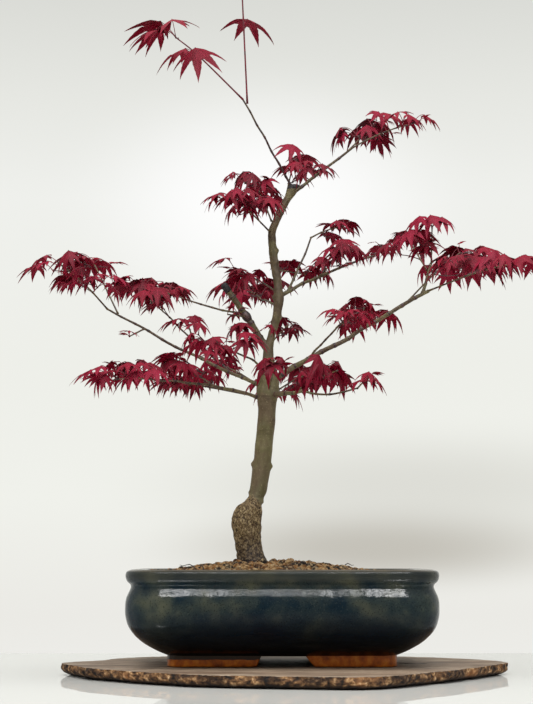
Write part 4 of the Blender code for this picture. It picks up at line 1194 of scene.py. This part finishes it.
def scatter_granules(half):
    """Lumpy grains on a jittered grid, clear of the trunk and inside the pot."""
    half_width, half_depth = half
    points, faces = ball()
    rng = random.Random(21)
    skins = [Skin() for _ in GRANULE_LOOKS]
    weights = [look[3] for look in GRANULE_LOOKS]
    y = -half_depth
    row = 0
    while y < half_depth:
        x = -half_width + (row % 2) * GRANULE_STEP / 2
        while x < half_width:
            place = x + rng.uniform(-1.6, 1.6) * MM, y + rng.uniform(-1.6, 1.6) * MM
            size = rng.uniform(*GRANULE_SIZES)
            stretch = np.array([rng.uniform(0.75, 1.2) for _ in range(3)])
            upward = Vector([rng.uniform(-1, 1) for _ in range(3)])
            turn = np.array(upward.to_track_quat("Z", "Y").to_matrix())
            x += GRANULE_STEP
            seed = rng.uniform(0, 50)
            look = rng.choices(range(len(skins)), weights)[0]
            if past_corner(place, half) > SOIL_CORNER - size:
                continue
            if math.dist(place, TRUNK_BENDS[0][1:]) < trunk_radius(0) + 0.5 * size:
                continue
            lumps = np.array([1 + 0.20 * wave(p, 1.3, seed) + 0.08 * wave(p, 3.5, seed) for p in points])
            grain = (points * lumps[:, None] * stretch * size) @ turn.T
            z = soil_height(*place, *half) - 0.4 * size + rng.uniform(-0.4, 0.9) * MM
            skins[look].add(grain + (*place, z), faces)
        y += GRANULE_STEP * 0.87
        row += 1
    for (name, pale, dark, _), skin in zip(GRANULE_LOOKS, skins):
        skin.piece(name, [granule_material(name, pale, dark)], "granules")


def make_soil():
    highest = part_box("soil")[1]
    half = highest.x - 2 * MM, highest.y - 2 * MM
    xs, ys = (np.linspace(-h, h, count) for h, count in zip(half, (BED_COLUMNS, BED_ROWS)))
    points = [(x, y, soil_height(x, y, *half) - BED_DEPTH) for y in ys for x in xs]
    bed = Skin()
    inside = [
        face
        for face in strips(BED_ROWS, BED_COLUMNS, closed=False)
        if past_corner(np.mean([points[i][:2] for i in face], 0), half) < SOIL_CORNER
    ]
    bed.add(points, inside)
    # The bed is painted near black: painted shade in the gaps between the granules.
    bed.piece("soil_bed", [granule_material("soil_dust", (46, 34, 24), (22, 16, 12))], "granules", ["soil"])
    scatter_granules(half)
    litter = Skin()
    for x, y, heading, length in TWIGLETS:
        start = np.array((x, y, soil_height(x, y, *half) + MM))
        t = np.linspace(0, 1, 6)[:, None]
        path = start + polar(heading, 20) * length * t + UP * 2 * MM * np.sin(5 * t)
        add_tube(litter, path, np.linspace(0.0005, 0.0002, 6), 5)
    litter.piece("dry_twiglets", [twig_material("dry_twig", (60, 44, 34), (34, 24, 20))], "granules")


# ---------------------------------------------------------------- pot
POT_FINE_RINGS, POT_INSIDE_RINGS = 130, 40
POT_FINE_ARC, POT_FINE_SIDE = 18, 14


def pot_ring(half_width, height):
    """A rounded rectangle with points along its straight sides too."""
    half_depth = half_width - POT_HALF_DEPTH_CUT
    corner = POT_WALL_CORNER - 0.6 * (POT_WIDEST - half_width)
    arcs = []
    for quarter, (x_side, y_side) in enumerate(((1, 1), (-1, 1), (-1, -1), (1, -1))):
        turns = np.linspace(0, math.pi / 2, POT_FINE_ARC) + quarter * math.pi / 2
        x = x_side * (half_width - corner) + corner * np.cos(turns)
        y = y_side * (half_depth - corner) + corner * np.sin(turns)
        arcs.append(np.stack((x, y, np.full(POT_FINE_ARC, height)), 1))
    shares = np.linspace(0, 1, POT_FINE_SIDE + 2)[1:-1, None]
    sides = [arc[-1] + (after[0] - arc[-1]) * shares for arc, after in zip(arcs, arcs[1:] + arcs[:1])]
    return np.concatenate([part for both in zip(arcs, sides) for part in both])


def make_pot(glaze, clay):
    outside = through(POT_SIDE, POT_FINE_RINGS)
    inside = through((POT_SIDE[-1], *POT_INSIDE), POT_INSIDE_RINGS)[1:]
    rings = [pot_ring(width, POT_BASE + height) for width, height in (*outside, *inside)]
    points = np.concatenate(rings)
    sway = np.abs([0.00030 * wave(p, 22, 5.0) + 0.00010 * wave(p, 90) for p in points])
    points[:, :2] -= np.sign(points[:, :2]) * sway[:, None]
    skin = Skin()
    skin.add(points, capped(len(rings[0]), len(rings)))
    skin.piece("pot_body", [glaze], "glaze", ["pot"], sharp=60)
    feet = Skin()
    for x_side in (-1, 1):
        for y_side in (-1, 1):
            add_foot(feet, x_side, y_side)
    feet.piece("pot_feet", [clay], "glaze", ["pot"], sharp=50)


def foot_ring(x_side, y_side, slant, height):
    """Outline of one foot: an L that wraps the pot's corner, its two ends drawn in by slant."""
    across, deep = FOOT_OUTSIDE, FOOT_OUTSIDE - POT_HALF_DEPTH_CUT
    outline = [(across - FOOT_LENGTH + slant, deep)]
    for turn in np.linspace(math.pi / 2, 0, 4):
        x = across - FOOT_CORNER + FOOT_CORNER * math.cos(turn)
        outline.append((x, deep - FOOT_CORNER + FOOT_CORNER * math.sin(turn)))
    outline.append((across, deep - FOOT_RETURN + slant))
    outline.append((across - FOOT_THICKNESS, deep - FOOT_RETURN + slant))
    outline.append((across - FOOT_THICKNESS, deep - FOOT_THICKNESS))
    outline.append((across - FOOT_LENGTH + slant, deep - FOOT_THICKNESS))
    return np.array([(x * x_side, y * y_side, height) for x, y in outline])


def add_foot(skin, x_side, y_side):
    """One L-shaped foot with its edges softened."""
    shape = bmesh.new()
    levels = ((POT_BASE, FOOT_SLANTS[x_side]), (POT_BASE + FOOT_HEIGHT + FOOT_SUNK, 0.0))
    rings = [foot_ring(x_side, y_side, slant, z) for z, slant in levels]
    verts = [shape.verts.new(p) for p in np.concatenate(rings)]
    count = len(rings[0])
    for face in (*strips(2, count), ring_face(count, 0), ring_face(count, 1)):
        shape.faces.new([verts[i] for i in face])
    bmesh.ops.recalc_face_normals(shape, faces=shape.faces)
    edges = list(shape.edges)
    bmesh.ops.bevel(shape, geom=edges, offset=FOOT_SOFTENING, segments=3, profile=0.5, affect="EDGES")
    points = [np.array(v.co) for v in shape.verts]
    skin.add(points, [tuple(v.index for v in face.verts) for face in shape.faces])
    shape.free()


# ---------------------------------------------------------------- slab
SLAB_FINE_POINTS = 1100
EDGE_LEVELS = (1.0, 0.95, 0.87, 0.77, 0.65, 0.52, 0.39, 0.27, 0.16, 0.08, 0.03)
EDGE_INSET = 0.0018
EDGE_CHIPS, EDGE_PLATES, EDGE_LUMPS = 0.0011, 0.0015, 0.0015  # relief of the live edge
EDGE_BELLY, EDGE_UNDERCUT = 0.0010, 0.0080  # how far the edge swells out and curls under
SAW_MARKS = 0.00022
FACE_SHARES = (0.985, 0.965, 0.93, 0.85, 0.72, 0.55, 0.35, 0.15)  # rings of the sawn face
FACE_CRACKS = (  # start, end, half width
    ((0.090, 0.000), (0.106, -0.009), 0.0022),
    ((0.105, -0.009), (0.116, -0.006), 0.0010),
    ((-0.120, 0.020), (-0.096, 0.024), 0.0007),
    ((0.020, 0.104), (0.044, 0.100), 0.0008),
)


def slab_outline(count):
    """The slab's level outline, evenly divided, its bark bulging in and out."""
    loop = through([(x, y, 0.0) for x, y in (*SLAB_EDGE, SLAB_EDGE[0])], 8 * len(SLAB_EDGE))
    reached = lengths_along(loop[:-1].tolist() + [loop[0]])
    wanted = np.arange(count) / count * reached[-1]
    closed = np.vstack((loop[:-1], loop[:1]))
    outline = np.stack([np.interp(wanted, reached, closed[:, k]) for k in range(3)], 1)
    turns = 2 * math.pi * np.arange(count) / count
    bulge = sum(size * np.sin(waves * turns + shift) for waves, size, shift in SLAB_WAVES)
    return outline * (1 + bulge)[:, None]


def make_slab(face, bark):
    """A sawn slice of trunk: flat face, and a live edge of chipped bark that curls under."""
    outline = slab_outline(SLAB_FINE_POINTS)
    outward = outline / np.linalg.norm(outline, axis=1)[:, None]
    count = len(outline)
    rings = []
    for level in EDGE_LEVELS:
        ring = outline + UP * level * SLAB_THICKNESS
        bulge = EDGE_BELLY * math.sin(math.pi * min(1.0, level * 1.05)) - EDGE_UNDERCUT * (1 - level) ** 4
        chips = np.array([rough(p * (1, 1, 1.5), 150, 4) for p in ring])
        plates = np.array([crack(p * (1, 1, 0.5), 75) - 0.7 for p in ring])
        lumps = np.array([wave(p, 45) for p in ring])
        worn = EDGE_CHIPS * chips + EDGE_PLATES * plates + EDGE_LUMPS * lumps
        worn *= 0.45 + 0.55 * math.sin(math.pi * level)
        ring += outward * (bulge - EDGE_INSET + worn)[:, None]
        if level == 1.0:
            ring[:, 2] -= 0.0002 + 0.0006 * np.abs(chips)
        rings.append(ring)
    skin = Skin()
    skin.add(np.concatenate(rings), strips(len(rings), count) + [ring_face(count, len(rings) - 1)])
    inner = [rings[0]]
    for share in FACE_SHARES:
        ring = rings[0] * (share, share, 1)
        ring[:, 2] = SLAB_THICKNESS - SAW_MARKS * np.abs([rough(p * (0.25, 1.6, 1), 120, 3) for p in ring])
        inner.append(ring)
    middle = [ring_face(count, len(inner) - 1)]
    skin.add(np.concatenate(inner), strips(len(inner), count) + middle, 1)
    skin.piece("slab_wood", [bark, face], "old_wood", ["slab"], sharp=55)
    split = Skin()
    for start, end, width in FACE_CRACKS:
        path = np.linspace((*start, SLAB_THICKNESS), (*end, SLAB_THICKNESS), 9)
        path[:, 1] += 0.0006 * np.array([wave(p, 300) for p in path])
        add_tube(split, path, width * np.sin(np.linspace(0.1, math.pi - 0.1, 9)), 8)
        split.points[-1][:, 2] = SLAB_THICKNESS + 0.12 * (split.points[-1][:, 2] - SLAB_THICKNESS)
    split.piece("face_cracks", [twig_material("crack_shadow", (30, 22, 16), (12, 9, 7))], "old_wood")


# ---------------------------------------------------------------- stage, lights and camera
CAMERA_PLACE = (-0.012, -1.5, 0.0935)
CAMERA_PITCH = 6.21  # degrees above the horizon
LENS = 95.9  # mm, for a long side of 36 mm
ROOM_LIGHT = 0.95
# Heights of the view direction, each with its colour: the backdrop, with painted shade darkening it towards
# the top, and the room that lights it.
BACKDROP = (
    (-0.08, 238, 238, 234), (-0.03, 235, 234, 229), (0.03, 240, 241, 235), (0.10, 238, 239, 233),
    (0.19, 239, 240, 236), (0.24, 230, 231, 226), (0.29, 218, 219, 214),
)
ROOM = (
    (-1.0, 90, 88, 84), (-0.05, 36, 36, 38), (0.20, 50, 52, 56), (0.50, 150, 152, 156),
    (0.80, 226, 226, 226), (1.0, 226, 226, 226),
)
# Painted light and shade on the backdrop: a glow behind the crown, and two painted shadows low down behind
# the pot.
PAINTED_GLOW_AND_SHADOWS = (  # view direction, spread, amount, colour
    ((0.0, 0.98, 0.185), (0.13, 1.0, 0.085), 0.95, (255, 255, 255)),
    ((0.060, 1.0, 0.004), (0.16, 1.0, 0.030), 0.85, (188, 184, 174)),
    ((0.080, 1.0, 0.035), (0.20, 1.0, 0.045), 0.45, (196, 194, 186)),
)
TABLE_GLOSS = 0.45
TABLE_HALF_WIDTH, TABLE_FRONT, TABLE_BACK, TABLE_THICKNESS = 1.2, 0.5, 0.34, 0.03
LIGHTS = (  # name, place, height of its target, size, power, whether it lights and whether it shines
    ("overhead", (0.0, -0.35, 1.7), 0.2, (1.8, 1.2), 23, True, True),
    ("front_left", (-1.3, -1.3, 1.1), 0.25, (1.0, 1.2), 11.5, True, False),
    ("front_right", (1.5, -1.0, 0.9), 0.25, (0.8, 1.2), 5, True, False),
    ("strip_left", (-0.38, -1.15, 1.33), 0.1, (0.60, 0.20), 19, False, True),
    ("strip_right", (0.46, -1.15, 1.33), 0.1, (0.70, 0.20), 26, False, True),
)


def make_table():
    look = Shading("table", 0.9, 0.0)
    look.finish(look.mix(look.noise(3, 3), (212, 212, 207), (219, 219, 214)))
    gloss = look.node("BsdfGlossy", {"Color": (250, 250, 250), "Roughness": 0.005})
    mixed = look.node("MixShader", {0: TABLE_GLOSS, 1: look.shader.outputs[0], 2: gloss.outputs[0]})
    look.feed(look.tree.nodes["Material Output"].inputs["Surface"], mixed.outputs[0])
    x, y, z = TABLE_HALF_WIDTH, TABLE_FRONT, TABLE_THICKNESS
    points = [(sx * x, sy, sz) for sz in (-z, 0.0) for sy in (-y, TABLE_BACK) for sx in (-1, 1)]
    faces = [(0, 1, 3, 2), (4, 6, 7, 5), (0, 4, 5, 1), (2, 3, 7, 6), (0, 2, 6, 4), (1, 5, 7, 3)]
    new_object("table", points, faces, [look.material])


def add_light(name, place, target, size, power, lights, shines):
    """A soft box. One that doesn't light only shows in gloss, and one that doesn't shine never does."""
    lamp = bpy.data.lights.new(name, "AREA")
    lamp.shape = "RECTANGLE"
    lamp.size, lamp.size_y = size
    lamp.energy = power
    obj = bpy.data.objects.new(name, lamp)
    obj.location = place
    obj.rotation_euler = (Vector((0, 0, target)) - Vector(place)).to_track_quat("-Z", "Y").to_euler()
    bpy.context.scene.collection.objects.link(obj)
    obj.visible_camera = False
    obj.visible_diffuse = lights
    obj.visible_glossy = shines


class Sky(Nodes):
    """The studio all round. Its place is the direction of view."""

    def __init__(self):
        self.world = bpy.data.worlds.new("studio")
        self.world.use_nodes = True
        self.world.node_tree.nodes.clear()
        super().__init__(self.world.node_tree, "Generated")

    def up(self, *stops):
        """A colour for each height of the view direction, from -1 below to 1 above."""
        level = self.span(self.axis("Z"), -1.0, 1.0)
        return self.ramp(level, *(((height + 1) / 2, *colour) for height, *colour in stops))

    def patch(self, backdrop, centre, spread, amount, colour):
        """The backdrop with a soft painted patch at this view direction: painted light where its colour is
        paler, painted shade where it is darker.
        """
        away = self.node("VectorMath", {0: self.place, 1: centre}, operation="SUBTRACT").outputs[0]
        away = self.node("VectorMath", {0: away, 1: spread}, operation="DIVIDE").outputs[0]
        away = self.node("VectorMath", {0: away}, operation="LENGTH").outputs["Value"]
        share = self.span(away, 0.0, 1.0, amount, 0.0, interpolation_type="SMOOTHERSTEP")
        return self.mix(share, backdrop, colour)


def make_world():
    """A pale backdrop, brightest behind the crown and shaded low down, and a darker room in front."""
    sky = Sky()
    backdrop = sky.up(*BACKDROP)
    for patch in PAINTED_GLOW_AND_SHADOWS:
        backdrop = sky.patch(backdrop, *patch)
    room = sky.up(*ROOM)
    behind = sky.span(sky.axis("Y"), -0.1, 0.5)
    lit = sky.node("Background", {0: sky.mix(behind, room, backdrop), 1: ROOM_LIGHT})
    seen = sky.node("Background", {0: backdrop, 1: 1.0})
    camera_ray = sky.node("LightPath").outputs["Is Camera Ray"]
    mixed = sky.node("MixShader", {0: camera_ray, 1: lit.outputs[0], 2: seen.outputs[0]})
    sky.node("OutputWorld", {0: mixed.outputs[0]})
    bpy.context.scene.world = sky.world


def make_camera():
    camera = bpy.data.cameras.new("camera")
    camera.lens = LENS
    camera.sensor_width = 36
    obj = bpy.data.objects.new("camera", camera)
    obj.location = CAMERA_PLACE
    obj.rotation_euler = (math.radians(90 + CAMERA_PITCH), 0, 0)
    bpy.context.scene.collection.objects.link(obj)
    bpy.context.scene.camera = obj


def main():
    bpy.context.scene.view_settings.view_transform = "Standard"
    make_camera()
    make_world()
    make_table()
    for light in LIGHTS:
        add_light(*light)
    seal = seal_material()
    bark = bark_material()
    dark = twig_material("shoot_bark", (84, 50, 44), (46, 28, 28))
    brown = twig_material("outer_bark", (100, 80, 54), (58, 42, 32))
    axes = limb_axes()
    make_trunk(axes, bark, seal)
    for limb in LIMBS:
        make_limb(limb, axes, bark, dark, seal, brown)
    make_foliage(axes)
    make_soil()
    make_pot(glaze_material(), clay_material())
    make_slab(plank_material(), slab_bark_material())


main()
